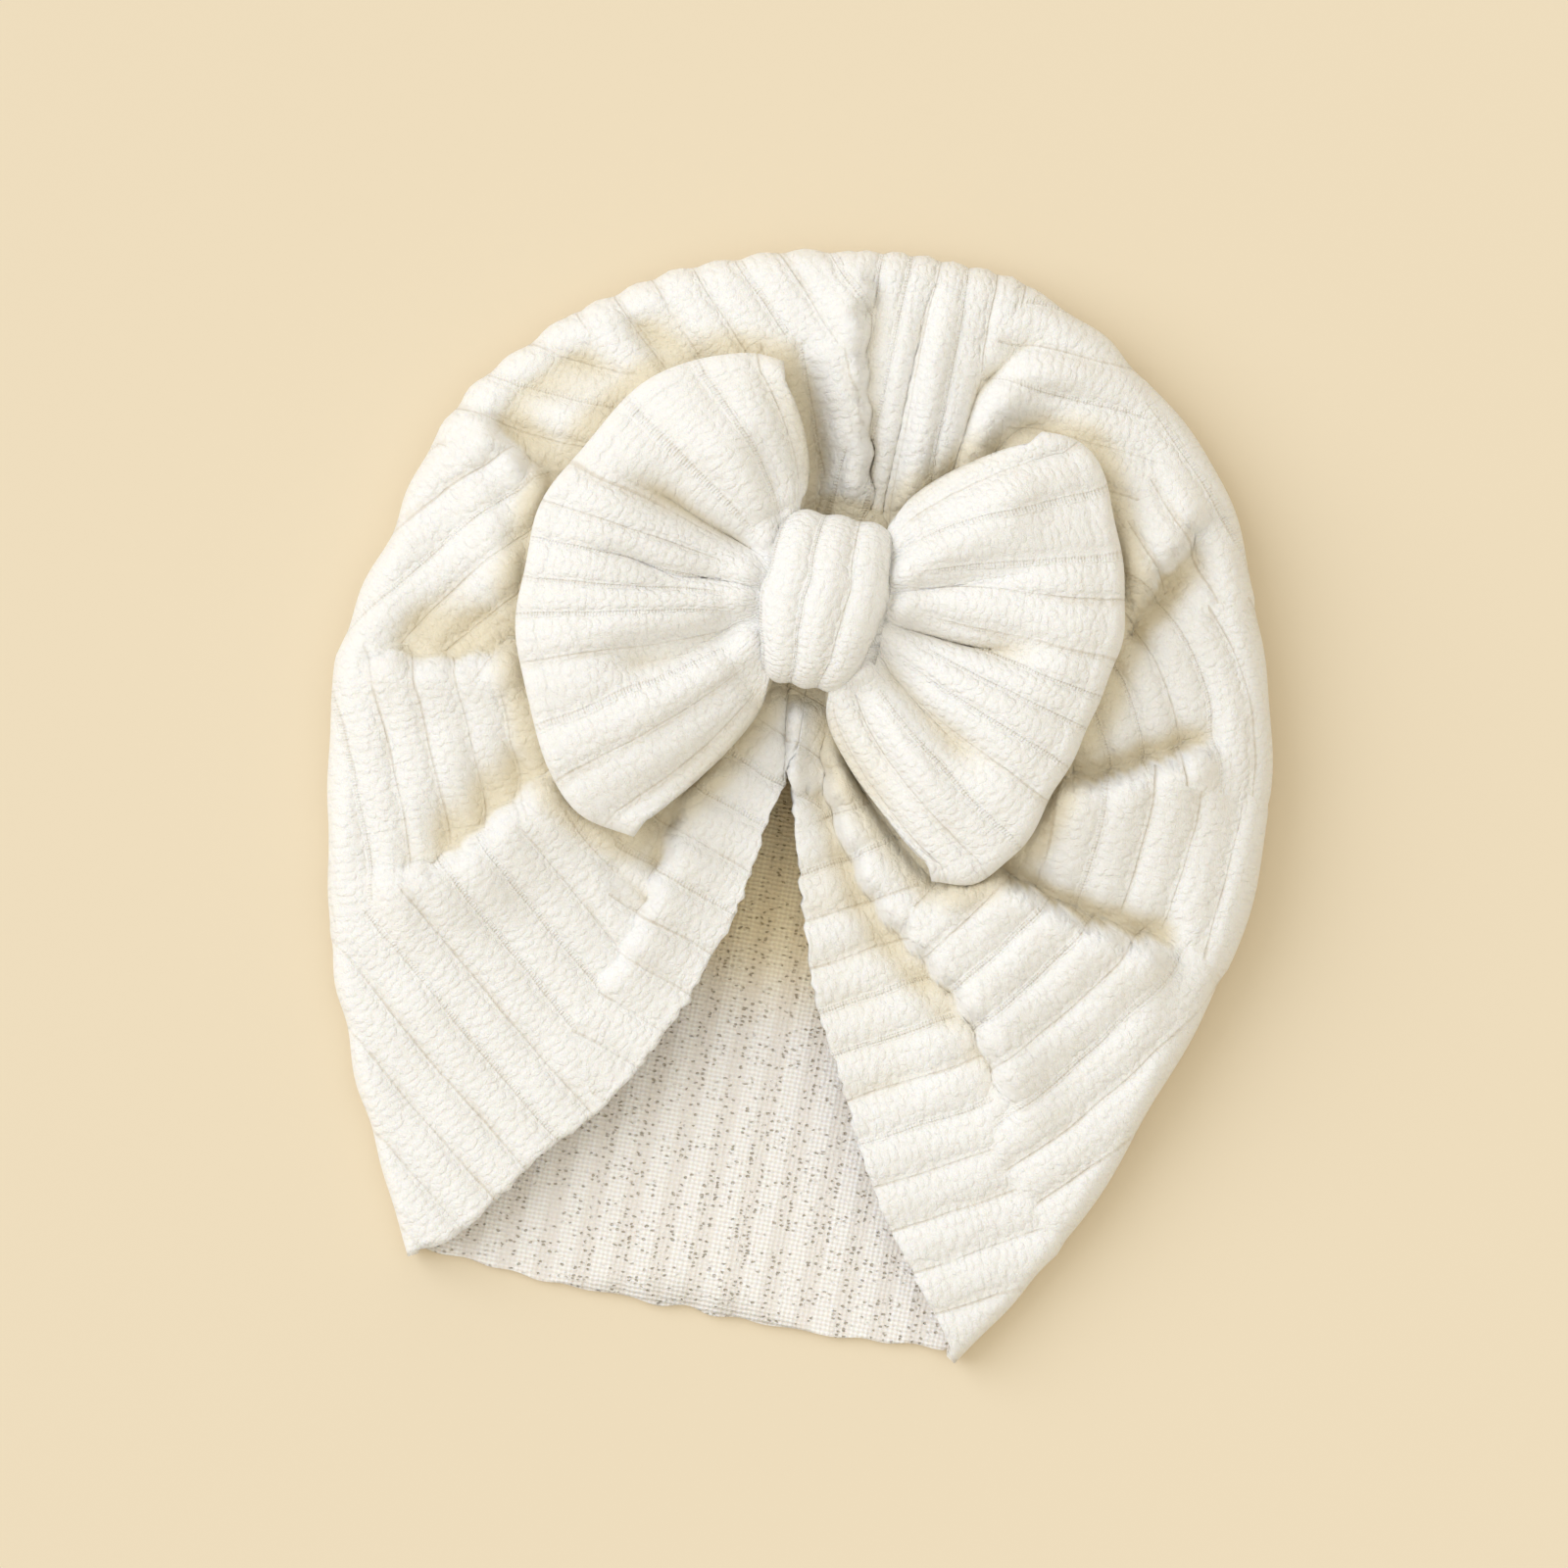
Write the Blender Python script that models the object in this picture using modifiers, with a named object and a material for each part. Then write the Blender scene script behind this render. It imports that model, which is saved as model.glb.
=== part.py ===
"""Baby turban hat lying on its back: a hollow rib-knit cap, split at the front and drawn together at one
gather, with a bow made of one looped strip that a knot band holds by its waist.

Units are metres and +Z is up. +Y runs from the back hem to the crown and +X to the right of the bow.
The origin is on the floor under the middle of the cap.
"""

import math

import bmesh
import bpy
from mathutils import Vector

# Cap
CAP_WIDTH = 0.180
CAP_LENGTH = 0.2065
CAP_LOFT = 0.024
CAP_WALL = 0.0022
GATHER_SHIFT = -0.001
GATHER_TO_CROWN = 0.068
GATHER_HEIGHT = 0.0150
GATHER_RADIUS = 0.016
GATHER_RISE = 0.036
SLIT_START = 0.033
LAYER_GAP = 0.0046
RIM_ROUNDNESS = 0.62
FOLD_DEPTH = 0.0072
FOLD_WIDTH = 0.0092
FOLD_FADE = 0.20
EDGE_FALL = 2.6
HEM_MIDDLE = 0.5

# Bow
BOW_REACH = 0.0580
BOW_LOFT = 0.0130
BOW_WALL = 0.0020
BOW_TIP_LOFT = 0.0066
BOW_PLEAT_DEPTH = 0.0042
BOW_EDGE_LOFT = 0.55
WAIST_WIDTH = 0.0250
WAIST_HEIGHT = 0.0088
WAIST_EDGE_HEIGHT = 0.0026
WAIST_ROUNDNESS = 2.4

# Knot band
BAND_WIDTH = 0.0212
BAND_WALL = 0.0022
BAND_BULGE = 0.0014
BAND_ROUNDNESS = 3.2

# Clearances between pieces that touch
SEAT_GAP = 0.0005
BAND_GAP = 0.0005
WAIST_MARGIN = 0.0012

# Facets
CAP_STATIONS = 66
FRONT_STATIONS = 18
RIM_STATIONS = 4
BACK_STATIONS = 7
STRIP_STATIONS = 22
WING_STATIONS = 7
TIP_STATIONS = 3
WAIST_STATIONS = 2
BAND_WIDTH_STATIONS = 6
BAND_STATIONS = 26

# The cap's outline from above, from the left end of the hem round the crown to the right end. x and y are
# shares of half the cap's width and length, rim is the height of the turned edge and crest that of the
# front layer between edge and gather, both as shares of the loft.
OUTLINE = (
    # x, y, rim, crest
    (-0.611, -1.000, 0.15, 0.62),
    (-0.728, -0.796, 0.20, 0.68),
    (-0.836, -0.592, 0.28, 0.78),
    (-0.918, -0.388, 0.38, 0.88),
    (-0.962, -0.155, 0.48, 0.95),
    (-1.000, 0.050, 0.54, 1.00),
    (-0.950, 0.291, 0.56, 1.00),
    (-0.868, 0.534, 0.58, 1.00),
    (-0.715, 0.720, 0.58, 0.98),
    (-0.489, 0.868, 0.58, 0.98),
    (-0.222, 0.964, 0.60, 1.00),
    (0.060, 1.000, 0.60, 1.00),
    (0.333, 0.974, 0.60, 1.00),
    (0.572, 0.854, 0.58, 1.00),
    (0.782, 0.684, 0.58, 1.00),
    (0.905, 0.447, 0.58, 1.00),
    (0.988, 0.194, 0.56, 1.00),
    (0.992, -0.097, 0.54, 1.00),
    (0.905, -0.388, 0.44, 0.90),
    (0.800, -0.641, 0.30, 0.78),
    (0.700, -0.820, 0.20, 0.68),
    (0.572, -1.000, 0.15, 0.62),
)

# How far the slit has opened on each side, as a share of its opening at the hem seen from the gather, by the
# share of the way from the slit's start to the hem.
SLIT_SPREAD = (
    # way, left, right
    (0.00, 0.00, 0.00),
    (0.15, 0.17, 0.27),
    (0.34, 0.32, 0.45),
    (0.59, 0.56, 0.69),
    (0.81, 0.80, 0.86),
    (1.00, 1.00, 1.00),
)

# The valleys between the cap's folds. Each row gives the valley's line from the edge to the gather, as
# shares of half the cap's width and length, then its depth and half width as shares of the fold's.
FOLDS = (
    # name, line, depth, width
    ("crown_left", ((-0.62, 0.86), (-0.50, 0.80), (-0.38, 0.74), (-0.26, 0.62)), 0.80, 1.00),
    ("temple_left", ((-0.86, 0.56), (-0.73, 0.53), (-0.62, 0.49), (-0.48, 0.45)), 0.95, 1.10),
    ("side_left", ((-0.93, 0.21), (-0.81, 0.16), (-0.67, 0.16), (-0.53, 0.22)), 0.95, 1.30),
    ("cheek_left", ((-0.89, -0.26), (-0.77, -0.22), (-0.64, -0.15), (-0.51, -0.05)), 0.85, 1.40),
    ("brow_left", ((-0.29, -0.42), (-0.27, -0.28), (-0.24, -0.16), (-0.17, -0.03)), 0.45, 1.00),
    ("wing_side", ((-0.20, 0.86), (-0.16, 0.74), (-0.12, 0.62), (-0.08, 0.50)), 0.75, 0.95),
    ("part_left", ((0.04, 0.94), (0.04, 0.80), (0.04, 0.66), (0.03, 0.53)), 0.60, 0.80),
    ("part_right", ((0.36, 0.93), (0.27, 0.82), (0.22, 0.72), (0.16, 0.58)), 0.90, 0.95),
    ("temple_right", ((0.80, 0.70), (0.71, 0.57), (0.63, 0.45), (0.52, 0.36)), 0.95, 1.00),
    ("side_right", ((0.91, 0.24), (0.78, 0.20), (0.65, 0.14), (0.50, 0.10)), 0.80, 0.90),
    ("cheek_right", ((0.91, -0.14), (0.75, -0.14), (0.58, -0.12), (0.42, -0.08)), 0.90, 0.95),
    ("brow_right", ((0.40, -0.42), (0.27, -0.28), (0.15, -0.13), (0.07, 0.03)), 0.50, 1.05),
)

# The bow's folded tips, from its upper edge to its lower one: where each station lies as an angle in
# degrees from +X seen from the knot, and its distance as a share of the reach.
LEFT_TIP = (
    # angle, reach
    (111.0, 0.775),
    (121.0, 0.875),
    (137.0, 0.915),
    (155.0, 0.945),
    (178.0, 0.975),
    (200.0, 1.000),
    (222.0, 1.060),
    (234.0, 1.070),
    (242.5, 0.990),
)
RIGHT_TIP = (
    # angle, reach
    (45.5, 0.945),
    (38.0, 1.010),
    (24.0, 0.975),
    (7.0, 0.970),
    (-10.0, 0.980),
    (-25.0, 0.980),
    (-38.0, 1.020),
    (-47.0, 1.050),
    (-53.0, 1.040),
)

# The bow's pleats across the strip: place is the share of the strip's width from its upper edge, depth a
# share of the pleat depth, width a share of the strip's width.
LEFT_PLEATS = (
    # place, depth, width
    (0.37, 1.00, 0.050),
    (0.55, 0.85, 0.045),
    (0.74, 0.60, 0.050),
)
RIGHT_PLEATS = (
    # place, depth, width
    (0.30, 0.70, 0.045),
    (0.50, 0.90, 0.045),
    (0.77, 1.00, 0.055),
)

KNIT_COLOUR = (0.93, 0.91, 0.87, 1.0)
KNIT_ROUGHNESS = 0.95

HALF_WIDTH = CAP_WIDTH / 2
HALF_LENGTH = CAP_LENGTH / 2
GATHER = Vector((GATHER_SHIFT, HALF_LENGTH - GATHER_TO_CROWN))


def mix(a, b, share):
    """The value a share of the way from a to b."""
    return a + (b - a) * share


def ease(share):
    """A smooth step from 0 to 1."""
    share = min(max(share, 0.0), 1.0)
    return share * share * (3 - 2 * share)


def table_value(rows, key, column):
    """The column's value at a key, straight between rows that are in order of their first column."""
    if key <= rows[0][0]:
        return rows[0][column]
    for low, high in zip(rows, rows[1:]):
        if key <= high[0]:
            return mix(low[column], high[column], (key - low[0]) / (high[0] - low[0]))
    return rows[-1][column]


def smooth_row(rows, share):
    """All the columns a share of the way through a table, on a smooth curve through its rows."""
    spans = len(rows) - 1
    place = min(max(share, 0.0), 1.0) * spans
    index = min(int(place), spans - 1)
    t = place - index
    near, far = rows[index], rows[index + 1]
    before = rows[index - 1] if index else [2 * a - b for a, b in zip(near, far)]
    after = rows[index + 2] if index + 2 < len(rows) else [2 * b - a for a, b in zip(near, far)]
    return [
        0.5 * (2 * b + (c - a) * t + (2 * a - 5 * b + 4 * c - d) * t * t + (3 * b - a - 3 * c + d) * t**3)
        for a, b, c, d in zip(before, near, far, after)
    ]


def outline_point(share):
    """The cap's mid-cloth outline, a share of the way round from the left end of the hem."""
    x, y, _, _ = smooth_row(OUTLINE, share)
    across = x * (HALF_WIDTH - CAP_WALL / 2)
    hem = -HALF_LENGTH + CAP_WALL / 4
    crown = HALF_LENGTH - CAP_WALL / 2
    return Vector((across, mix(hem, crown, (y + 1) / 2)))


def angle_of(offset):
    """The direction of an offset from the gather, in degrees from 270 at the slit's left down to -90."""
    angle = math.degrees(math.atan2(offset.y, offset.x))
    return angle if angle >= -90 else angle + 360


def outline_rays():
    """The angle, radius, rim and crest of each outline station, clockwise from the left end of the hem."""
    rows = []
    count = CAP_STATIONS * 2
    for index in range(count + 1):
        share = index / count
        offset = outline_point(share) - GATHER
        _, _, rim, crest = smooth_row(OUTLINE, share)
        rows.append((angle_of(offset), offset.length, rim, crest))
    return sorted(rows)


RAYS = outline_rays()
RIGHT_END, LEFT_END = RAYS[0][0], RAYS[-1][0]
GATHER_TO_HEM = GATHER.y + HALF_LENGTH


def ray(angle):
    """Outline radius, rim height and crest height in a direction from the gather."""
    if angle < RIGHT_END or angle > LEFT_END:
        end = RAYS[0] if angle < RIGHT_END else RAYS[-1]
        radius, rim, crest = GATHER_TO_HEM / abs(math.sin(math.radians(angle))), end[2], end[3]
    else:
        radius, rim, crest = (table_value(RAYS, angle, column) for column in (1, 2, 3))
    return radius, mix(LAYER_GAP, CAP_LOFT, rim), crest * CAP_LOFT


def crown_height(point):
    """The mid-cloth height of the front layer with no folds in it."""
    offset = point - GATHER
    radius, rim_height, crest_height = ray(angle_of(offset))
    share = min(offset.length / radius, 1.0)
    ring = mix(crest_height, rim_height, share**EDGE_FALL)
    return mix(GATHER_HEIGHT, ring, ease((offset.length - GATHER_RADIUS) / GATHER_RISE))


def distance_along(point, line):
    """How far a point is from a line of points, and how far along the line its foot lies, from 0 to 1."""
    best = (math.inf, 0.0)
    spans = len(line) - 1
    for index, (start, end) in enumerate(zip(line, line[1:])):
        span = end - start
        t = min(max((point - start).dot(span) / span.length_squared, 0.0), 1.0)
        away = (point - start - span * t).length
        if away < best[0]:
            best = (away, (index + t) / spans)
    return best


FOLD_LINES = [
    ([Vector((x * HALF_WIDTH, y * HALF_LENGTH)) for x, y in line], depth * FOLD_DEPTH, width * FOLD_WIDTH)
    for _, line, depth, width in FOLDS
]


def fold_drop(point):
    """How far the valleys take the front layer down at a point. They fade out at the turned edge."""
    offset = point - GATHER
    to_edge = 1 - offset.length / ray(angle_of(offset))[0]
    drop = 0.0
    for line, depth, width in FOLD_LINES:
        away, along = distance_along(point, line)
        fade = ease(along * 3 + 0.2) * ease((1 - along) * 3 + 0.35)
        drop = max(drop, depth * fade * math.exp(-((away / width) ** 2)))
    return drop * ease(to_edge / FOLD_FADE)


def front_height(point):
    """The mid-cloth height of the folded front layer."""
    return crown_height(point) - fold_drop(point)


def knit_material(name):
    """The brushed ivory rib knit that every piece is made of."""
    material = bpy.data.materials.new(name)
    material.use_nodes = True
    shader = material.node_tree.nodes["Principled BSDF"]
    shader.inputs["Base Color"].default_value = KNIT_COLOUR
    shader.inputs["Roughness"].default_value = KNIT_ROUGHNESS
    shader.inputs["Metallic"].default_value = 0.0
    return material


def cloth_object(name, columns, rows, place, wall, collection, material):
    """A sheet of columns by rows, each vertex put where place says, with its thickness from Solidify.

    place takes the shares across and along the sheet. Edges that place brings together are joined.
    """
    bm = bmesh.new()
    bmesh.ops.create_grid(bm, x_segments=columns, y_segments=rows, size=0.5)
    for vertex in bm.verts:
        vertex.co = place(vertex.co.x + 0.5, vertex.co.y + 0.5)
    bmesh.ops.remove_doubles(bm, verts=bm.verts, dist=1e-6)
    mesh = bpy.data.meshes.new(name)
    bm.to_mesh(mesh)
    bm.free()
    mesh.shade_smooth()
    mesh.materials.append(material)
    sheet = bpy.data.objects.new(name, mesh)
    collection.objects.link(sheet)
    solidify = sheet.modifiers.new("wall", "SOLIDIFY")
    solidify.thickness = wall
    solidify.offset = 0.0
    return sheet


def slit_side(way, column):
    """The share of its full opening that a side of the slit has reached at a share of the way to the hem."""
    start = SLIT_START / GATHER_TO_HEM
    return table_value(SLIT_SPREAD, (way - start) / (1 - start), column)


def front_point(across, way, turn):
    """A point of the cap's front layer, a share of the way from the gather to the turned edge.

    Where the slit is open the cloth's rays draw away from it; nearer the gather they close the circle.
    """
    edge = outline_point(across) - GATHER
    place = (LEFT_END - angle_of(edge)) / (LEFT_END - RIGHT_END)
    left = 270.0 - (270.0 - LEFT_END) * slit_side(way, 1)
    right = -90.0 + (RIGHT_END + 90.0) * slit_side(way, 2)
    angle = math.radians(mix(left, right, place))
    flat = GATHER + Vector((math.cos(angle), math.sin(angle))) * way * (edge.length - turn)
    return Vector((flat.x, flat.y, front_height(flat)))


def cap_place(across, along):
    """Where the cap's cloth lies. across runs round the outline, and along runs from the gather over the
    front, round the turned edge and back underneath to the hem."""
    row = along * (FRONT_STATIONS + RIM_STATIONS + BACK_STATIONS)
    edge = outline_point(across)
    outward = (edge - GATHER).normalized()
    _, rim_height, _ = ray(angle_of(edge - GATHER))
    floor_height = CAP_WALL / 2
    rise = (rim_height - floor_height) / 2
    turn = rise * RIM_ROUNDNESS
    if row <= FRONT_STATIONS:
        return front_point(across, row / FRONT_STATIONS, turn)
    if row <= FRONT_STATIONS + RIM_STATIONS:
        bend = math.pi * (0.5 - (row - FRONT_STATIONS) / RIM_STATIONS)
        flat = edge - outward * turn * (1 - math.cos(bend))
        return Vector((flat.x, flat.y, floor_height + rise + rise * math.sin(bend)))
    way = (row - FRONT_STATIONS - RIM_STATIONS) / BACK_STATIONS
    hem = outline_point(0.0).lerp(outline_point(1.0), (1 - HEM_MIDDLE) / 2 + HEM_MIDDLE * across)
    flat = (edge - outward * turn).lerp(hem, way)
    return Vector((flat.x, flat.y, floor_height))


def band_seat():
    """The height of the knot band's underside, clear of the cap beneath its whole footprint."""
    half_depth = (WAIST_WIDTH + BOW_WALL) / 2 + BAND_GAP + BAND_WALL
    corner = GATHER + Vector((BAND_WIDTH / 2, half_depth))
    return crown_height(corner) + CAP_WALL / 2 + SEAT_GAP


WAIST_MIDDLE = band_seat() + BAND_WALL + BAND_GAP + BOW_WALL / 2 + WAIST_HEIGHT / 2


def waist_half(place):
    """Half the height between the bow's two layers at its waist, at a share of the strip's width."""
    middle = max(1 - abs(2 * place - 1) ** WAIST_ROUNDNESS, 0.0) ** (1 / WAIST_ROUNDNESS)
    return mix(WAIST_EDGE_HEIGHT / 2, WAIST_HEIGHT / 2, middle)


def waist_point(place, side):
    """The end of the bow's waist on one side, at a share of the strip's width from its upper edge."""
    reach = BAND_WIDTH / 2 + WAIST_MARGIN
    half = WAIST_WIDTH / 2
    return GATHER + Vector((side * reach, mix(half, -half, place)))


def wing_point(place, way, side, top):
    """A point of a wing, at a share of the strip's width and of the way from waist to tip."""
    tips, pleats = (LEFT_TIP, LEFT_PLEATS) if side < 0 else (RIGHT_TIP, RIGHT_PLEATS)
    angle, reach = smooth_row(tips, place)
    turn = BOW_TIP_LOFT / 2
    direction = Vector((math.cos(math.radians(angle)), math.sin(math.radians(angle))))
    tip = GATHER + direction * (reach * BOW_REACH - turn)
    flat = waist_point(place, side).lerp(tip, way)
    laid = crown_height(flat) + (CAP_WALL + BOW_WALL) / 2 + SEAT_GAP
    low = mix(WAIST_MIDDLE - waist_half(place), laid, ease(way * 3))
    if not top:
        return Vector((flat.x, flat.y, low))
    crown = mix(BOW_EDGE_LOFT, 1.0, 1 - abs(2 * place - 1) ** 3)
    open_loft = mix(BOW_LOFT * crown, BOW_TIP_LOFT, way**2)
    loft = mix(2 * waist_half(place), open_loft, ease(way * 2.2))
    fade = ease(way * 5) * (1 - ease(way * 1.5 - 0.4))
    depth = sum(depth * math.exp(-(((place - spot) / width) ** 2)) for spot, depth, width in pleats)
    return Vector((flat.x, flat.y, low + loft - depth * fade * BOW_PLEAT_DEPTH))


def tip_point(place, bend, side):
    """A point of a wing's folded tip, turned by bend from the top layer round to the lower one."""
    upper = wing_point(place, 1.0, side, True)
    lower = wing_point(place, 1.0, side, False)
    middle = (upper + lower) / 2
    angle, _ = smooth_row(LEFT_TIP if side < 0 else RIGHT_TIP, place)
    outward = Vector((math.cos(math.radians(angle)), math.sin(math.radians(angle)), 0.0))
    return middle + (upper - middle) * math.cos(bend) + outward * math.sin(bend) * BOW_TIP_LOFT / 2


def bow_place(across, along):
    """Where the bow's strip lies. across runs over its width from the upper edge, and along runs once
    round the loop, from the left end of the waist over the left wing, under it and on to the right."""
    wing = 2 * WING_STATIONS + TIP_STATIONS
    row = along * 2 * (wing + WAIST_STATIONS)
    side = -1
    if row > wing + WAIST_STATIONS:
        row -= wing + WAIST_STATIONS
        side = 1
    top_first = side < 0
    if row <= WING_STATIONS:
        return wing_point(across, row / WING_STATIONS, side, top_first)
    if row <= WING_STATIONS + TIP_STATIONS:
        bend = math.pi * (row - WING_STATIONS) / TIP_STATIONS
        return tip_point(across, bend if top_first else math.pi - bend, side)
    if row <= wing:
        return wing_point(across, (wing - row) / WING_STATIONS, side, not top_first)
    way = (row - wing) / WAIST_STATIONS
    start = waist_point(across, side)
    flat = start.lerp(waist_point(across, -side), way)
    height = WAIST_MIDDLE + waist_half(across) * (1 if side > 0 else -1)
    return Vector((flat.x, flat.y, height))


def band_place(across, along):
    """Where the knot band's cloth lies. across runs over its width and along once round the bow's waist."""
    bulge = BAND_BULGE * (1 - (2 * across - 1) ** 2)
    half_depth = (WAIST_WIDTH + BOW_WALL + BAND_WALL) / 2 + BAND_GAP
    half_height = (WAIST_HEIGHT + BOW_WALL + BAND_WALL) / 2 + BAND_GAP
    angle = 2 * math.pi * along
    power = 2 / BAND_ROUNDNESS
    y = math.copysign(abs(math.cos(angle)) ** power, math.cos(angle))
    z = math.copysign(abs(math.sin(angle)) ** power, math.sin(angle))
    swell = bulge * max(z, 0.0)
    x = GATHER.x + (0.5 - across) * BAND_WIDTH
    return Vector((x, GATHER.y + half_depth * y, WAIST_MIDDLE + half_height * z + swell))


def clear_scene():
    """Remove what the new file came with."""
    for item in list(bpy.data.objects):
        bpy.data.objects.remove(item, do_unlink=True)


def main():
    clear_scene()
    hat = bpy.data.collections.new("baby_turban_hat")
    bpy.context.scene.collection.children.link(hat)
    cap_rows = FRONT_STATIONS + RIM_STATIONS + BACK_STATIONS
    bow_rows = 2 * (2 * WING_STATIONS + TIP_STATIONS + WAIST_STATIONS)
    cloth_object("cap", CAP_STATIONS, cap_rows, cap_place, CAP_WALL, hat, knit_material("cap_knit"))
    cloth_object("bow", STRIP_STATIONS, bow_rows, bow_place, BOW_WALL, hat, knit_material("bow_knit"))
    cloth_object(
        "knot_band", BAND_WIDTH_STATIONS, BAND_STATIONS, band_place, BAND_WALL, hat, knit_material("band_knit")
    )


main()
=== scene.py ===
"""Dresses the baby turban hat: rib knit over its folded cap, looped bow and knot band, frayed hems, a pale
floor and soft light from the left.

Lengths in the tables are millimetres in the hat's own frame: +X right, +Y to the crown, +Z up.
"""

import logging
import math
from dataclasses import dataclass
from enum import Enum

import bmesh
import bpy
import numpy as np
from mathutils import Matrix, Vector


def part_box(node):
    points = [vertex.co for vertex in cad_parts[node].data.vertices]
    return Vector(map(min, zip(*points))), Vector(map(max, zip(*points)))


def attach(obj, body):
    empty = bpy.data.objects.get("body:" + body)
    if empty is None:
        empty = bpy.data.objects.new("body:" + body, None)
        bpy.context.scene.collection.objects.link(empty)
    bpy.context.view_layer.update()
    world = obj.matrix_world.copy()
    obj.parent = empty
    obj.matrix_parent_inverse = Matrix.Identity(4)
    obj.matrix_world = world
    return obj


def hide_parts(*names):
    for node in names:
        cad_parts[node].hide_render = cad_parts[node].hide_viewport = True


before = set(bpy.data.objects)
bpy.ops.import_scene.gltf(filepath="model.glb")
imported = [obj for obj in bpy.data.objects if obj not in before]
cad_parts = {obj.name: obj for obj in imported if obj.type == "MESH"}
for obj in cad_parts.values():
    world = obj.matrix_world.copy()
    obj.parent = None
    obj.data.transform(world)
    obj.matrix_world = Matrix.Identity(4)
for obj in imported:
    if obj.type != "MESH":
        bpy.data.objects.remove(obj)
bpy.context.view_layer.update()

log = logging.getLogger("turban_hat")

MM = 0.001
CAP_LOW, CAP_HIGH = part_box("cap")
BAND_LOW, BAND_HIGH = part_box("knot_band")

# Sizes in millimetres. The first follow the solids, the rest are set near theirs for the look.
HALF_WIDTH = (CAP_HIGH[0] - CAP_LOW[0]) / 2 / MM
HALF_LENGTH = (CAP_HIGH[1] - CAP_LOW[1]) / 2 / MM
CAP_LOFT = 24.0
CAP_WALL = 2.0
LAYER_GAP = 4.6
EDGE_FALL = 2.6
RIM_ROUNDNESS = 0.62
GATHER = (-1.0, HALF_LENGTH - 68.0)
GATHER_HEIGHT = 15.0
GATHER_RADIUS = 16.0
GATHER_RISE = 36.0
BOW_WALL = 1.8
BOW_LOFT = 13.0
BOW_TIP_LOFT = 6.6
SEAT_GAP = 0.5
WAIST_WIDTH = 22.5
WAIST_HEIGHT = 8.8
WAIST_EDGE_HEIGHT = 2.6
WAIST_ROUNDNESS = 2.4
BAND_WIDTH = 22.0
BAND_WALL = 2.0
BAND_ROUNDNESS = 2.7
BAND_HALF_DEPTH = 14.6
BAND_SWELL = 3.0
RIB_PITCH = 7.7
INNER_PITCH = 7.3
RIB_RELIEF = 0.42
WING_RIB_RELIEF = 0.4

# How far the slit's point lies from the gather, how much its cut edges fray, and how far below the smooth
# form the cloth has its full fold shade.
SLIT_POINT = 34.0
EDGE_FRAY = 0.45
FULL_SHADE_DEPTH = 4.4

# The knit's rhythm: tufts and ladder rungs on its right side, courses and wales on its wrong side.
TUFTS_PER_RIB = 4.0
TUFTS_PER_CM = 6.4
RUNGS_PER_CM = 17.0
COURSES_PER_CM = 11.4
WALES_PER_RIB = 8.0
BAND_RIBS = 3

# The cap's outline from above, clockwise from the left end of the hem, as shares of half its width and
# length; rim is the turned edge's height and crest the front layer's, as shares of the loft.
OUTLINE = (
    (-0.611, -1.000, 0.15, 0.62),
    (-0.728, -0.796, 0.20, 0.68),
    (-0.836, -0.592, 0.28, 0.78),
    (-0.918, -0.388, 0.38, 0.88),
    (-0.962, -0.155, 0.48, 0.95),
    (-1.000, 0.050, 0.54, 1.00),
    (-0.950, 0.291, 0.56, 1.00),
    (-0.868, 0.534, 0.58, 1.00),
    (-0.715, 0.720, 0.58, 0.98),
    (-0.489, 0.868, 0.58, 0.98),
    (-0.222, 0.964, 0.60, 1.00),
    (0.060, 1.000, 0.60, 1.00),
    (0.333, 0.974, 0.60, 1.00),
    (0.572, 0.854, 0.58, 1.00),
    (0.782, 0.684, 0.58, 1.00),
    (0.905, 0.447, 0.58, 1.00),
    (0.988, 0.194, 0.56, 1.00),
    (0.992, -0.097, 0.54, 1.00),
    (0.905, -0.388, 0.44, 0.90),
    (0.800, -0.641, 0.30, 0.78),
    (0.700, -0.820, 0.20, 0.68),
    (0.572, -1.000, 0.15, 0.62),
)

# The slit's two edges: degrees away from straight down, seen from the gather, by the share of the way out.
SLIT = (
    (0.222, 0.0, 0.0),
    (0.26, 1.9, 2.4),
    (0.30, 3.4, 4.0),
    (0.35, 3.8, 5.7),
    (0.40, 4.3, 7.2),
    (0.44, 5.2, 8.1),
    (0.49, 6.7, 9.2),
    (0.55, 7.8, 10.7),
    (0.61, 9.5, 12.8),
    (0.67, 11.1, 14.0),
    (0.73, 12.9, 15.1),
    (0.77, 14.7, 15.9),
    (0.82, 16.4, 17.0),
    (0.88, 17.6, 18.5),
    (0.93, 18.5, 19.6),
    (0.97, 19.6, 20.4),
    (1.00, 21.3, 20.6),
)

# The bow's folded tips from the upper edge to the lower, in millimetres from above.
LEFT_TIP = (
    (-17.5, 78),
    (-25.5, 78.5),
    (-34, 75.5),
    (-43, 69),
    (-50, 58.5),
    (-55.5, 48.5),
    (-58, 38.5),
    (-58.5, 28),
    (-57, 17.5),
    (-53, 6.5),
    (-47, -5.5),
    (-39, -13),
    (-28.5, -16.5),
)
RIGHT_TIP = (
    (34, 74),
    (42.5, 74),
    (47.5, 66.5),
    (52, 57),
    (55.5, 47),
    (56, 38),
    (55, 29.5),
    (53, 21),
    (50.5, 12),
    (48, 3.5),
    (44, -5.5),
    (38, -11.5),
    (30, -13.5),
)
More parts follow.
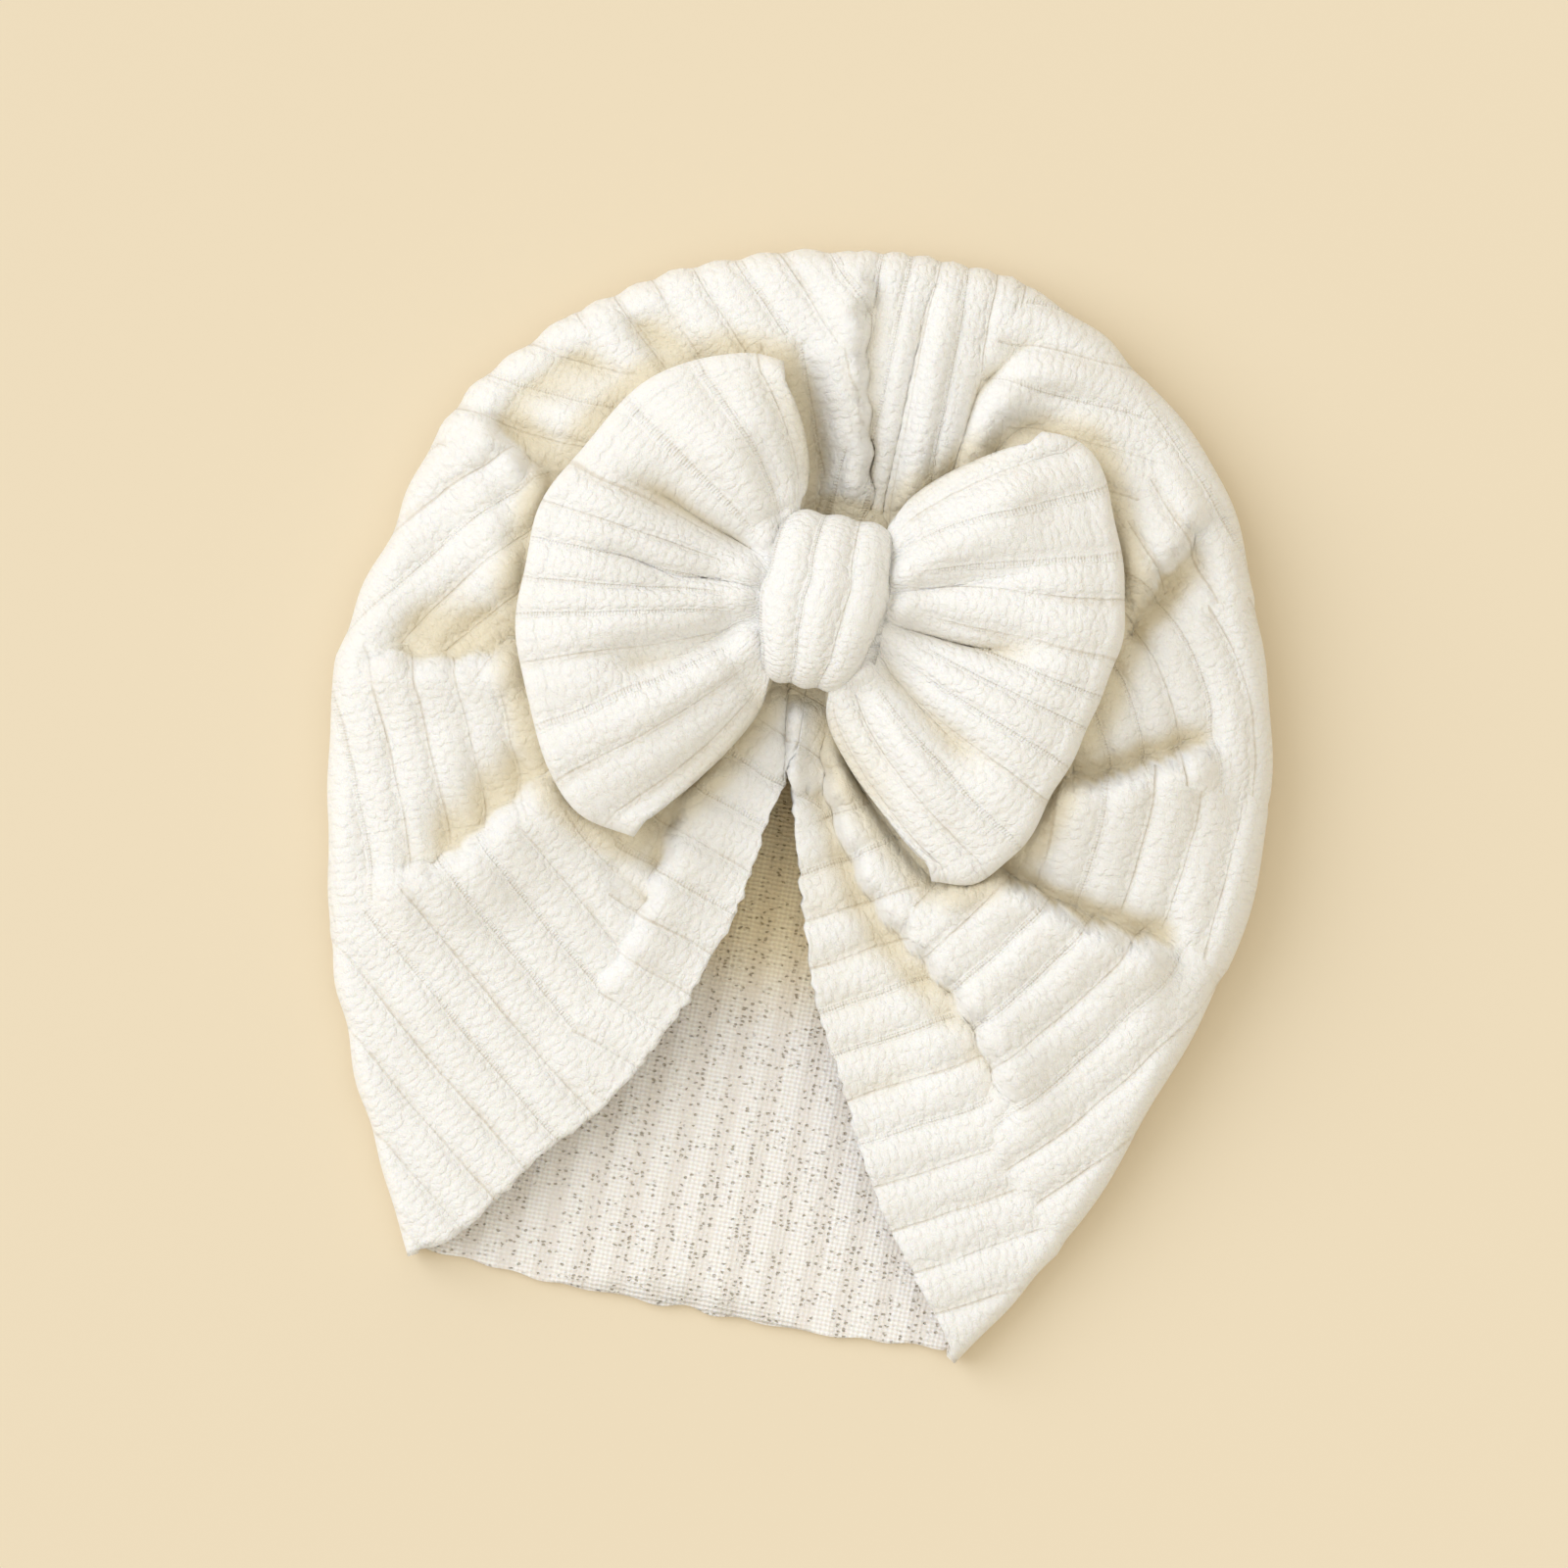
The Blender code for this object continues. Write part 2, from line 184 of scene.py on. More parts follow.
# Where grooves cross each folded tip, as shares of the way from its upper edge to its lower one.
LEFT_GROOVES = (-0.05, 0.055, 0.165, 0.28, 0.395, 0.46, 0.52, 0.583, 0.64, 0.71, 0.79, 0.865, 0.96, 1.04)
RIGHT_GROOVES = (-0.03, 0.08, 0.17, 0.275, 0.345, 0.455, 0.525, 0.59, 0.66, 0.735, 0.82, 0.90, 0.975, 1.05)
# How far each wing's upper and lower edge puffs out past a straight line from knot to tip, as x and y.
LEFT_PUFF = ((4.5, 3.0), (7.0, -1.0))
RIGHT_PUFF = ((-4.0, 4.0), (-11.0, -1.5))


class Crease(Enum):
    """How a fold's line shapes the cloth beside it."""

    VALLEY = "valley"
    RIDGE = "ridge"
    STEP = "step"


def ease(share: np.ndarray) -> np.ndarray:
    """A smooth step from 0 to 1."""
    share = np.clip(share, 0.0, 1.0)
    return share * share * (3 - 2 * share)


def mix(a: np.ndarray, b: np.ndarray, share: np.ndarray) -> np.ndarray:
    """The value a share of the way from a to b."""
    return a + (b - a) * share


def curve_through(rows: tuple, share: np.ndarray) -> np.ndarray:
    """Columns of a table on a smooth curve through its rows.

    Args:
        rows: the table.
        share: places along the curve, from 0 to 1.

    Returns:
        One row of columns for each place.
    """
    table = np.array(rows, float)
    table = np.vstack([2 * table[0] - table[1], table, 2 * table[-1] - table[-2]])
    place = np.clip(np.atleast_1d(share), 0, 1) * (len(rows) - 1)
    index = np.minimum(place.astype(int), len(rows) - 2)
    t = (place - index)[:, None]
    a, b, c, d = (table[index + k] for k in range(4))
    return 0.5 * (2 * b + (c - a) * t + (2 * a - 5 * b + 4 * c - d) * t**2 + (3 * b - a - 3 * c + d) * t**3)


def near_line(line: np.ndarray, x: np.ndarray, y: np.ndarray) -> tuple[np.ndarray, np.ndarray]:
    """Distance from a line, positive on its left, and how far along it the nearest point lies.

    Args:
        line: points of the line.
        x: places to measure.
        y: places to measure.

    Returns:
        The signed distance and the share of the line's points passed.
    """
    best = np.full(x.shape, 1e9)
    side = np.ones(x.shape)
    along = np.zeros(x.shape)
    count = len(line) - 1
    for index in range(count):
        ax, ay = line[index]
        dx, dy = line[index + 1] - line[index]
        t = np.clip(((x - ax) * dx + (y - ay) * dy) / (dx * dx + dy * dy), 0, 1)
        away = np.hypot(x - ax - t * dx, y - ay - t * dy)
        near = away < best
        best = np.where(near, away, best)
        side = np.where(near, np.where(dx * (y - ay) - dy * (x - ax) >= 0, 1.0, -1.0), side)
        along = np.where(near, (index + t) / count, along)
    return best * side, along


@dataclass(frozen=True)
class Fold:
    """One fold of the cloth: the line it follows, how high it stands and how far it spreads, in mm.

    A STEP lies higher on the left of its line, as where one layer laps over the next. lip is how far its
    edge takes to rise, either side of the line, and a lip under 0.8 runs straight, without the ribs' waves.
    start and end are the shares of the line over which the fold comes and goes.
    """

    crease: Crease
    line: tuple
    height: float
    width: float
    lip: float = 1.6
    start: float = 0.2
    end: float = 0.2

    def lift(self, x: np.ndarray, y: np.ndarray) -> np.ndarray:
        """How much the fold raises the cloth at each place.

        Args:
            x: places, in millimetres.
            y: places, in millimetres.

        Returns:
            The rise in millimetres, 0 away from the fold.
        """
        line = curve_through(self.line, np.linspace(0, 1, 5 * len(self.line)))
        reach = 3.2 * self.width
        low, high = line.min(axis=0) - reach, line.max(axis=0) + reach
        inside = (x > low[0]) & (x < high[0]) & (y > low[1]) & (y < high[1])
        lift = np.zeros(x.shape)
        if not inside.any():
            return lift
        away, along = near_line(line, x[inside], y[inside])
        taper = ease(along / self.start) * ease((1 - along) / self.end)
        if self.crease is Crease.STEP:
            ribs = np.hypot(*np.diff(line, axis=0).T).sum() / RIB_PITCH
            wave = 0.5 * np.cos(math.tau * along * ribs) + 0.25 * lumps(x[inside], y[inside], 6, 41)
            away = away + wave * ease((self.lip - 0.8) / 0.4)
            rise = ease(away / (2 * self.lip) + 0.5)
            high_side = rise * np.exp(-((np.maximum(away, 0) / self.width) ** 2))
            low_side = (1 - rise) * np.exp(-((np.minimum(away, 0) / (0.55 * self.width)) ** 2))
            shape = high_side - 0.45 * low_side
        else:
            shape = np.exp(-((away / self.width) ** 2))
            shape = -shape if self.crease is Crease.VALLEY else shape
        lift[inside] = self.height * taper * shape
        return lift


@dataclass(frozen=True)
class RibPatch:
    """A stretch of the cap whose ribs run one way.

    seeds are points in it: a face belongs to the patch of the nearest seed. anchor lies on a groove, angle
    is the ribs' direction there in degrees, and bend how fast they turn to the left, per millimetre.
    """

    seeds: tuple
    anchor: tuple
    angle: float
    bend: float = 0.0
    pitch: float = RIB_PITCH

    def apart(self, x: np.ndarray, y: np.ndarray) -> np.ndarray:
        """Distance to the patch's nearest seed."""
        return np.min([np.hypot(x - sx, y - sy) for sx, sy in self.seeds], axis=0)

    def lay(self, x: np.ndarray, y: np.ndarray) -> tuple[np.ndarray, np.ndarray]:
        """Ribs passed across the patch, and millimetres run along them.

        Args:
            x: places, in millimetres.
            y: places, in millimetres.

        Returns:
            The ribs passed from the anchor, and the millimetres run.
        """
        turn = math.radians(self.angle)
        dx, dy = x - self.anchor[0], y - self.anchor[1]
        run = dx * math.cos(turn) + dy * math.sin(turn)
        across = dy * math.cos(turn) - dx * math.sin(turn)
        return (across - self.bend * run**2 / 2) / self.pitch, run


CAP_FOLDS = (
    Fold(Crease.STEP, ((4, 20), (5.5, 8), (10, -4), (20, -18), (30, -26), (42, -36), (50, -47),
                       (58, -58)), 6.0, 11, 1.2, 0.25),
    Fold(Crease.VALLEY, ((-1, 14), (2.5, 4), (7, -6), (12.5, -14), (18, -22), (27, -30),
                         (36, -38), (46, -47)), 1.6, 2.6, 1, 0.15),
    Fold(Crease.VALLEY, ((4, -8), (11, -24), (22, -42), (34, -60)), 1.3, 10),
    Fold(Crease.STEP, ((80, -18), (70, -17.5), (60, -16), (50, -13), (41, -10),
                       (33, -8)), 6.4, 10, 1.05, 0.15, 0.05),
    Fold(Crease.VALLEY, ((80, -15), (70, -14), (58, -12.5), (48, -9.5),
                         (38, -7)), 4.2, 3.0, 1, 0.2, 0.05),
    Fold(Crease.STEP, ((80, 24), (72, 19), (65, 15), (58, 11), (50, 9),
                       (43, 7)), 5.4, 10, 1.05, 0.2, 0.05),
    Fold(Crease.VALLEY, ((79, 27), (71, 22), (64, 18), (57, 14), (50, 12)), 4.2, 3.0, 1, 0.2, 0.05),
    Fold(Crease.RIDGE, ((50, -2), (60, 0), (70, 1), (82, 3)), 1.2, 8),
    Fold(Crease.STEP, ((51, 33), (56, 42), (60, 52), (63, 57), (66, 64),
                       (73, 73)), 5.2, 10, 1.2, 0.05, 0.35),
    Fold(Crease.VALLEY, ((56, 38), (60, 45), (65, 52), (71, 60)), 4.4, 3.8, 1, 0.1, 0.4),
    Fold(Crease.VALLEY, ((-74, 62), (-62, 68), (-50, 71), (-36, 68)), 3.8, 8),
    Fold(Crease.VALLEY, ((14, 54), (18, 63), (19.5, 70), (21, 80), (25, 87),
                         (33, 97)), 3.6, 2.2, 1, 0.2, 0.3),
    Fold(Crease.RIDGE, ((20, 62), (22.5, 73), (26, 81), (32, 85), (42, 86),
                        (54, 82)), 3.0, 3.4, 1, 0.1, 0.4),
    Fold(Crease.VALLEY, ((23, 66), (29, 74), (35, 77), (43, 77)), 3.4, 2.6, 1, 0.1, 0.4),
    Fold(Crease.RIDGE, ((11.5, 54), (11.5, 70), (11.5, 85), (13, 101)), 2.0, 3.0, 1, 0.05, 0.2),
    Fold(Crease.VALLEY, ((7, 52), (7, 65), (7, 80), (7.5, 101)), 2.0, 1.3, 1, 0.05, 0.2),
    Fold(Crease.STEP, ((5, 50), (2.5, 60), (0, 70), (-3, 80), (-4.5, 90),
                       (-4.5, 102)), 3.4, 7, 1.3, 0.05, 0.15),
    Fold(Crease.VALLEY, ((3, 52), (2, 65), (0, 80), (-1, 100)), 1.6, 2.0, 1, 0.05, 0.2),
    Fold(Crease.VALLEY, ((-17, 88), (-13, 78), (-9, 67), (-6, 56), (-5, 48)), 3.6, 3.4, 1, 0.4, 0.05),
    Fold(Crease.VALLEY, ((-58, 86), (-50, 83), (-40, 78), (-32, 74), (-25, 66)), 3.8, 4.0, 1, 0.5, 0.05),
    Fold(Crease.RIDGE, ((-60, 73), (-52, 76), (-46, 73), (-38, 67)), 3.0, 4.6, 1, 0.5, 0.1),
    Fold(Crease.STEP, ((-46, 41), (-55, 46), (-61, 49), (-69, 55), (-78, 61)), 5.0, 6, 1.7, 0.05, 0.3),
    Fold(Crease.VALLEY, ((-46, 47), (-56, 52), (-63, 56), (-72, 62)), 3.6, 4.4, 1, 0.05, 0.35),
    Fold(Crease.RIDGE, ((-79, 54), (-74, 48), (-69, 42), (-65, 35), (-61, 28), (-54, 20)), 3.6, 3.8),
    Fold(Crease.VALLEY, ((-84, 17), (-76, 16), (-67, 17), (-56, 20), (-48, 23)), 4.6, 7.0, 1, 0.3, 0.05),
    Fold(Crease.STEP, ((-50, 17), (-58, 14), (-64, 11), (-71, 9), (-80, 8),
                       (-88, 5)), 4.4, 7, 1.7, 0.05, 0.2),
    Fold(Crease.STEP, ((-42, -4), (-50, -13), (-56, -21), (-61, -27), (-69, -31),
                       (-80, -34)), 4.6, 12, 1.6, 0.05),
    Fold(Crease.VALLEY, ((-49, -3), (-56, -13), (-63, -21), (-70, -25)), 2.8, 6.5, 1, 0.1, 0.3),
    Fold(Crease.STEP, ((-21, 2), (-20, -12), (-22, -27), (-25, -38),
                       (-30, -50)), 3.2, 9, 1.3, 0.05, 0.3),
    Fold(Crease.VALLEY, ((-33, -20), (-26, -25), (-21, -28)), 2.2, 1.8),
    Fold(Crease.VALLEY, ((-28, -4), (-24, -14), (-23, -24)), 3.0, 3.2, 1, 0.05, 0.3),
    Fold(Crease.STEP, ((-4, 20), (-2.8, 13), (-1.8, 7), (-1, 2), (-0.5, -1)), 3.0, 5, 0.5, 0.05, 0.05),
)

CAP_RIBS = (
    RibPatch(((6, 84), (14, 70), (6, 98), (16, 96), (6, 62)), (14, 80), 90, 0, 5.5),
    RibPatch(((-22, 92), (-33, 88), (-12, 88), (-46, 84), (-30, 72)), (-20, 86), -46),
    RibPatch(((-10, 68), (-12, 78)), (-8, 66), 112),
    RibPatch(((-64, 68), (-60, 58), (-68, 60), (-56, 66)), (-63, 64.5), -6, 0.004, 7.9),
    RibPatch(((-74, 30), (-79, 38), (-66, 22), (-82, 20), (-62, 32), (-66, 44)), (-78, 27), 52, -0.006),
    RibPatch(((-75, -8), (-65, -8), (-83, -12), (-57, -10), (-77, -24), (-78, 4)),
             (-80, -20), 111, 0.004),
    RibPatch(((-60, -40), (-50, -50), (-40, -60), (-62, -62), (-48, -28), (-60, -80), (-50, -85),
             (-36, -45)),
             (-50, -60), -39, 0.0015, 8.3),
    RibPatch(((-13, -22), (-16, -36), (-11, -10), (-24, -50)), (-14, -23.5), -20, 0, 8.6),
    RibPatch(((32, -52), (42, -62), (50, -74), (26, -44), (55, -82), (14, -20), (20, -34)),
             (40, -57), 30, 0.004, 8.8),
    RibPatch(((68, -26), (58, -34), (76, -36), (66, -48), (46, -24), (40, -18), (70, -64), (60, -58)),
             (64, -40), 53, 0.006, 8.6),
    RibPatch(((58, 2), (68, 2), (78, 2), (50, 0), (85, 0)), (58, 0), 88, 0.005, 8.6),
    RibPatch(((70, 34), (64, 28), (78, 40), (62, 38), (80, 26)), (72, 35), 122, 0.022, 7.2),
    RibPatch(((44, 84), (36, 80), (50, 76), (30, 90)), (45, 82), -4, -0.004),
    RibPatch(((64, 72), (70, 58), (58, 80)), (66, 70), -48, -0.006),
)

LEFT_WING_FOLDS = (
    Fold(Crease.VALLEY, ((-9, 42), (-24, 45), (-38, 50), (-55, 53)), 3.4, 6.5, 1, 0.05, 0.35),
    Fold(Crease.VALLEY, ((-9, 30), (-22, 24), (-34, 18), (-50, 13)), 2.1, 5.5, 1, 0.05, 0.4),
    Fold(Crease.RIDGE, ((-12, 50), (-20, 60), (-27, 68)), 2.1, 6.0, 1, 0.1, 0.4),
    Fold(Crease.RIDGE, ((-13, 18), (-26, 5), (-36, -4)), 2.3, 7.5, 1, 0.1, 0.4),
    Fold(Crease.VALLEY, ((-11, 40), (-20, 43.5), (-27, 46), (-35, 49), (-45, 51),
                         (-55, 51)), 4.9, 2.1, 1, 0.05, 0.3),
    Fold(Crease.VALLEY, ((-11, 35), (-22, 35), (-30, 34), (-38, 36), (-47, 36.5),
                         (-58, 36)), 2.9, 1.8, 1, 0.05, 0.4),
    Fold(Crease.VALLEY, ((-11, 30), (-17, 27), (-25, 20), (-32, 17), (-38, 15),
                         (-50, 12)), 3.4, 2.6, 1, 0.05, 0.4),
    Fold(Crease.VALLEY, ((-10, 22), (-18, 12), (-28, 2), (-36, -6)), 1.8, 3.0, 1, 0.05, 0.5),
    Fold(Crease.VALLEY, ((-10, 46), (-16, 58), (-24, 70)), 2.0, 2.6, 1, 0.05, 0.5),
    Fold(Crease.RIDGE, ((-14, 45), (-24, 55), (-38, 62), (-48, 60)), 1.6, 5.0),
    Fold(Crease.RIDGE, ((-18, 30), (-30, 26), (-45, 22)), 1.6, 3.2),
)
RIGHT_WING_FOLDS = (
    Fold(Crease.VALLEY, ((8, 34), (22, 33), (35, 33), (54, 34)), 2.9, 5.5, 1, 0.05, 0.35),
    Fold(Crease.VALLEY, ((8, 28), (20, 19), (33, 11), (48, 4)), 2.6, 5.5, 1, 0.05, 0.35),
    Fold(Crease.RIDGE, ((12, 48), (26, 58), (38, 66)), 2.1, 7.0, 1, 0.1, 0.4),
    Fold(Crease.VALLEY, ((8, 38), (20, 42), (27, 44.5), (35, 47), (50, 52)), 2.3, 1.9, 1, 0.05, 0.4),
    Fold(Crease.VALLEY, ((8, 34), (20, 32.5), (27, 32), (35, 32.5), (52, 33.5)), 4.2, 2.0, 1, 0.05, 0.3),
    Fold(Crease.VALLEY, ((8, 29), (20, 19), (26, 15), (33, 11), (47, 5)), 4.2, 3.0, 1, 0.05, 0.35),
    Fold(Crease.VALLEY, ((8, 44), (18, 54), (30, 64)), 2.0, 2.8, 1, 0.05, 0.5),
    Fold(Crease.VALLEY, ((7, 22), (15, 10), (24, -2)), 2.1, 2.6, 1, 0.05, 0.5),
    Fold(Crease.RIDGE, ((14, 44), (26, 55), (38, 64)), 1.6, 5.0),
    Fold(Crease.RIDGE, ((12, 22), (22, 8), (32, -3)), 1.6, 4.0),
)


def outline_points(share: np.ndarray) -> np.ndarray:
    """The cap's mid-cloth outline, x and y in millimetres, clockwise from the left end of the hem.

    Args:
        share: places along the outline, from 0 to 1.

    Returns:
        One row of x and y for each place.
    """
    rows = curve_through(OUTLINE, share)
    hem = -HALF_LENGTH + CAP_WALL / 4
    crown = HALF_LENGTH - CAP_WALL / 2
    x = rows[:, 0] * (HALF_WIDTH - CAP_WALL / 2)
    return np.column_stack([x, mix(hem, crown, (rows[:, 1] + 1) / 2)])


def angle_at(dx: np.ndarray, dy: np.ndarray) -> np.ndarray:
    """Direction from the gather in degrees, from -90 on the slit's right round to 270 on its left."""
    angle = np.degrees(np.arctan2(dy, dx))
    return np.where(angle < -90, angle + 360, angle)


class CapForm:
    """The smooth height of the cap's front layer, before its folds, and where the bow lies on it."""

    def __init__(self) -> None:
        """Tabulates the outline by direction from the gather."""
        share = np.linspace(0, 1, 400)
        points = outline_points(share) - np.array(GATHER)
        angles = angle_at(points[:, 0], points[:, 1])
        order = np.argsort(angles)
        rows = curve_through(OUTLINE, share)[order]
        self.angles = angles[order]
        self.radii = np.hypot(points[:, 0], points[:, 1])[order]
        self.rims = rows[:, 2]
        self.crests = rows[:, 3]

    def ray(self, angle: np.ndarray) -> tuple[np.ndarray, np.ndarray, np.ndarray]:
        """Outline radius, rim height and crest height in a direction.

        Args:
            angle: directions from the gather, in degrees.

        Returns:
            The three, in millimetres, for each direction.
        """
        straight = (GATHER[1] + HALF_LENGTH) / np.maximum(np.abs(np.sin(np.radians(angle))), 0.2)
        outside = (angle < self.angles[0]) | (angle > self.angles[-1])
        radius = np.where(outside, straight, np.interp(angle, self.angles, self.radii))
        rim = mix(LAYER_GAP, CAP_LOFT, np.interp(angle, self.angles, self.rims))
        return radius, rim, np.interp(angle, self.angles, self.crests) * CAP_LOFT

    def height(self, x: np.ndarray, y: np.ndarray) -> np.ndarray:
        """Mid-cloth height of the smooth front layer.

        Args:
            x: places, in millimetres.
            y: places, in millimetres.

        Returns:
            The height in millimetres, without folds.
        """
        dx, dy = x - GATHER[0], y - GATHER[1]
        away = np.hypot(dx, dy)
        radius, rim, crest = self.ray(angle_at(dx, dy))
        ring = mix(crest, rim, np.clip(away / radius, 0, 1) ** EDGE_FALL)
        return mix(GATHER_HEIGHT, ring, ease((away - GATHER_RADIUS) / GATHER_RISE))

    def under_bow(self, x: np.ndarray, y: np.ndarray, fade: float = 1.6) -> np.ndarray:
        """How surely a place is under the bow or its knot, from 1 there to 0 a few millimetres away.

        Args:
            x: places, in millimetres.
            y: places, in millimetres.
            fade: how far past the wings it fades, in millimetres.

        Returns:
            The share for each place.
        """
        covered = 1 - ease((np.hypot(x - GATHER[0], y - GATHER[1]) - 19) / 4)
        for side in (-1, 1):
            ring = wing_outline(side)
            inside = np.zeros(x.shape, bool)
            for (ax, ay), (bx, by) in zip(ring, np.roll(ring, -1, axis=0)):
                crosses = ((ay > y) != (by > y)) & (x < (bx - ax) * (y - ay) / (by - ay + 1e-12) + ax)
                inside ^= crosses
            away = np.abs(near_line(np.vstack([ring, ring[:1]]), x, y)[0])
            covered = np.maximum(covered, np.where(inside, 1.0, 1 - ease(away / fade)))
        return covered


def wing_path(place: np.ndarray, way: np.ndarray, side: int) -> tuple[np.ndarray, np.ndarray]:
    """Where a place on the strip lies from above, a share of the way from the knot to the wing's tip.

    Args:
        place: shares of the way from the strip's upper edge to its lower one.
        way: shares of the way out to the tip.
        side: -1 for the left wing, 1 for the right.

    Returns:
        x and y in millimetres.
    """
    tip = curve_through(LEFT_TIP if side < 0 else RIGHT_TIP, place)
    puff = LEFT_PUFF if side < 0 else RIGHT_PUFF
    start_x = GATHER[0] + side * (BAND_WIDTH / 2 + 0.2)
    start_y = GATHER[1] + mix(WAIST_WIDTH / 2, -WAIST_WIDTH / 2, place)
    swell = np.sin(math.pi * way**0.6) ** 0.8
    upper, lower = (1 - place) ** 3 * swell, place**3 * swell
    x = mix(start_x, tip[:, 0], way) + upper * puff[0][0] + lower * puff[1][0]
    y = mix(start_y, tip[:, 1], way) + upper * puff[0][1] + lower * puff[1][1]
    return x, y


def wing_outline(side: int) -> np.ndarray:
    """A wing's outline from above as a ring of points.

    Args:
        side: -1 for the left wing, 1 for the right.

    Returns:
        One row of x and y for each point.
    """
    way, place = np.linspace(0, 1, 16), np.linspace(0, 1, 40)
    upper = wing_path(np.zeros(16), way, side)
    tip = wing_path(place, np.ones(40), side)
    lower = wing_path(np.ones(16), way[::-1], side)
    parts = (upper, tip, lower)
    return np.column_stack([np.concatenate([part[axis] for part in parts]) for axis in (0, 1)])


FORM = CapForm()


def lumps(x: np.ndarray, y: np.ndarray, size: float, seed: int) -> np.ndarray:
    """Soft uneven waves of about that size in millimetres, from -1 to 1.

    Args:
        x: places, in millimetres.
        y: places, in millimetres.
        size: the length of a wave.
        seed: picks one pattern.

    Returns:
        The wave's value at each place.
    """
    draw = np.random.default_rng(seed)
    total = np.zeros(x.shape)
    for _ in range(9):
        angle, phase, stretch = draw.uniform(0, math.tau), draw.uniform(0, math.tau), draw.uniform(0.7, 1.5)
        step = math.tau / (size * stretch)
        total += np.sin((x * math.cos(angle) + y * math.sin(angle)) * step + phase)
    return total / 4.5


@dataclass
class ClothSheet:
    """A sheet of knit laid on a grid, one solid of even wall, with its ribs on a UV map.

    Args:
        name: the piece's name.
        columns: faces across the sheet.
        rows: faces along it.
        wall: the cloth's thickness in millimetres.
    """

    name: str
    columns: int
    rows: int
    wall: float

    def place(self, across: np.ndarray, along: np.ndarray) -> np.ndarray:
        """Where the cloth lies, in millimetres; each kind of sheet has its own."""
        raise NotImplementedError

    def ribs(self, points: np.ndarray, across: np.ndarray, along: np.ndarray) -> list:
        """The ways that the ribs may run, each as ribs passed and millimetres run at every vertex."""
        raise NotImplementedError

    def patch_of(self, points: np.ndarray, along: np.ndarray) -> np.ndarray:
        """Which of the ways each face takes, from its middle."""
        return np.zeros(len(points), int)

    def painted_shade(self, points: np.ndarray, across: np.ndarray, along: np.ndarray) -> np.ndarray:
        """How deep in a fold each vertex lies, as its share of painted fold shade, from 0 to 1."""
        return np.zeros(len(points))

    def plain(self, points: np.ndarray) -> np.ndarray:
        """How far the ribs melt into the gathers at each vertex, from 0 to 1."""
        return np.zeros(len(points))

    def build(self, materials: list) -> bpy.types.Object:
        """Makes the piece.

        Args:
            materials: the outer face's material, then the inner face's.

        Returns:
            The finished object, in the scene.
        """
        bm = bmesh.new()
        bmesh.ops.create_grid(bm, x_segments=self.columns, y_segments=self.rows, size=0.5)
        bm.verts.ensure_lookup_table()
        flat = np.array([vert.co[:2] for vert in bm.verts]) + 0.5
        across, along = flat[:, 0], flat[:, 1]
        points = self.place(across, along)
        # Each vertex's share of painted shade, kept in a vertex attribute for the material.
        depth = self.painted_shade(points, across, along)
        plain = self.plain(points)
        painted_shade_layer = bm.verts.layers.float.new("painted_shade_amount")
        plain_layer = bm.verts.layers.float.new("plain")
        for vert, point, deep, calm in zip(bm.verts, points * MM, depth, plain):
            vert.co = point
            vert[painted_shade_layer] = deep
            vert[plain_layer] = calm
        self.write_ribs(bm, points, across, along)
        bmesh.ops.remove_doubles(bm, verts=bm.verts, dist=2e-6)
        bmesh.ops.dissolve_degenerate(bm, edges=bm.edges, dist=1e-7)
        mesh = bpy.data.meshes.new(self.name)
        bm.to_mesh(mesh)
        bm.free()
        mesh.shade_smooth()
        piece = bpy.data.objects.new(self.name, mesh)
        bpy.context.scene.collection.objects.link(piece)
        for material in materials:
            mesh.materials.append(material)
        wall = piece.modifiers.new("wall", "SOLIDIFY")
        wall.thickness = self.wall * MM
        wall.offset = 0.0
        wall.material_offset = len(materials) - 1
        return piece

    def write_ribs(
        self, bm: bmesh.types.BMesh, points: np.ndarray, across: np.ndarray, along: np.ndarray
    ) -> None:
        """Writes each face's ribs to the UV map: ribs passed, and centimetres run.

        Args:
            bm: the sheet's grid.
            points: its vertices, in millimetres.
            across: their shares of the way across.
            along: their shares of the way along.
        """
        ways = self.ribs(points, across, along)
        bm.faces.ensure_lookup_table()
        corners = np.array([[vert.index for vert in face.verts] for face in bm.faces])
        chosen = self.patch_of(points[corners].mean(axis=1), along[corners].mean(axis=1))
        passed = np.array([way[0] for way in ways])[chosen[:, None], corners]
        run = np.array([way[1] for way in ways])[chosen[:, None], corners] / 10
        layer = bm.loops.layers.uv.new("ribs")
        for face, us, vs in zip(bm.faces, passed, run):
            for loop, u, v in zip(face.loops, us, vs):
                loop[layer].uv = (u, v)


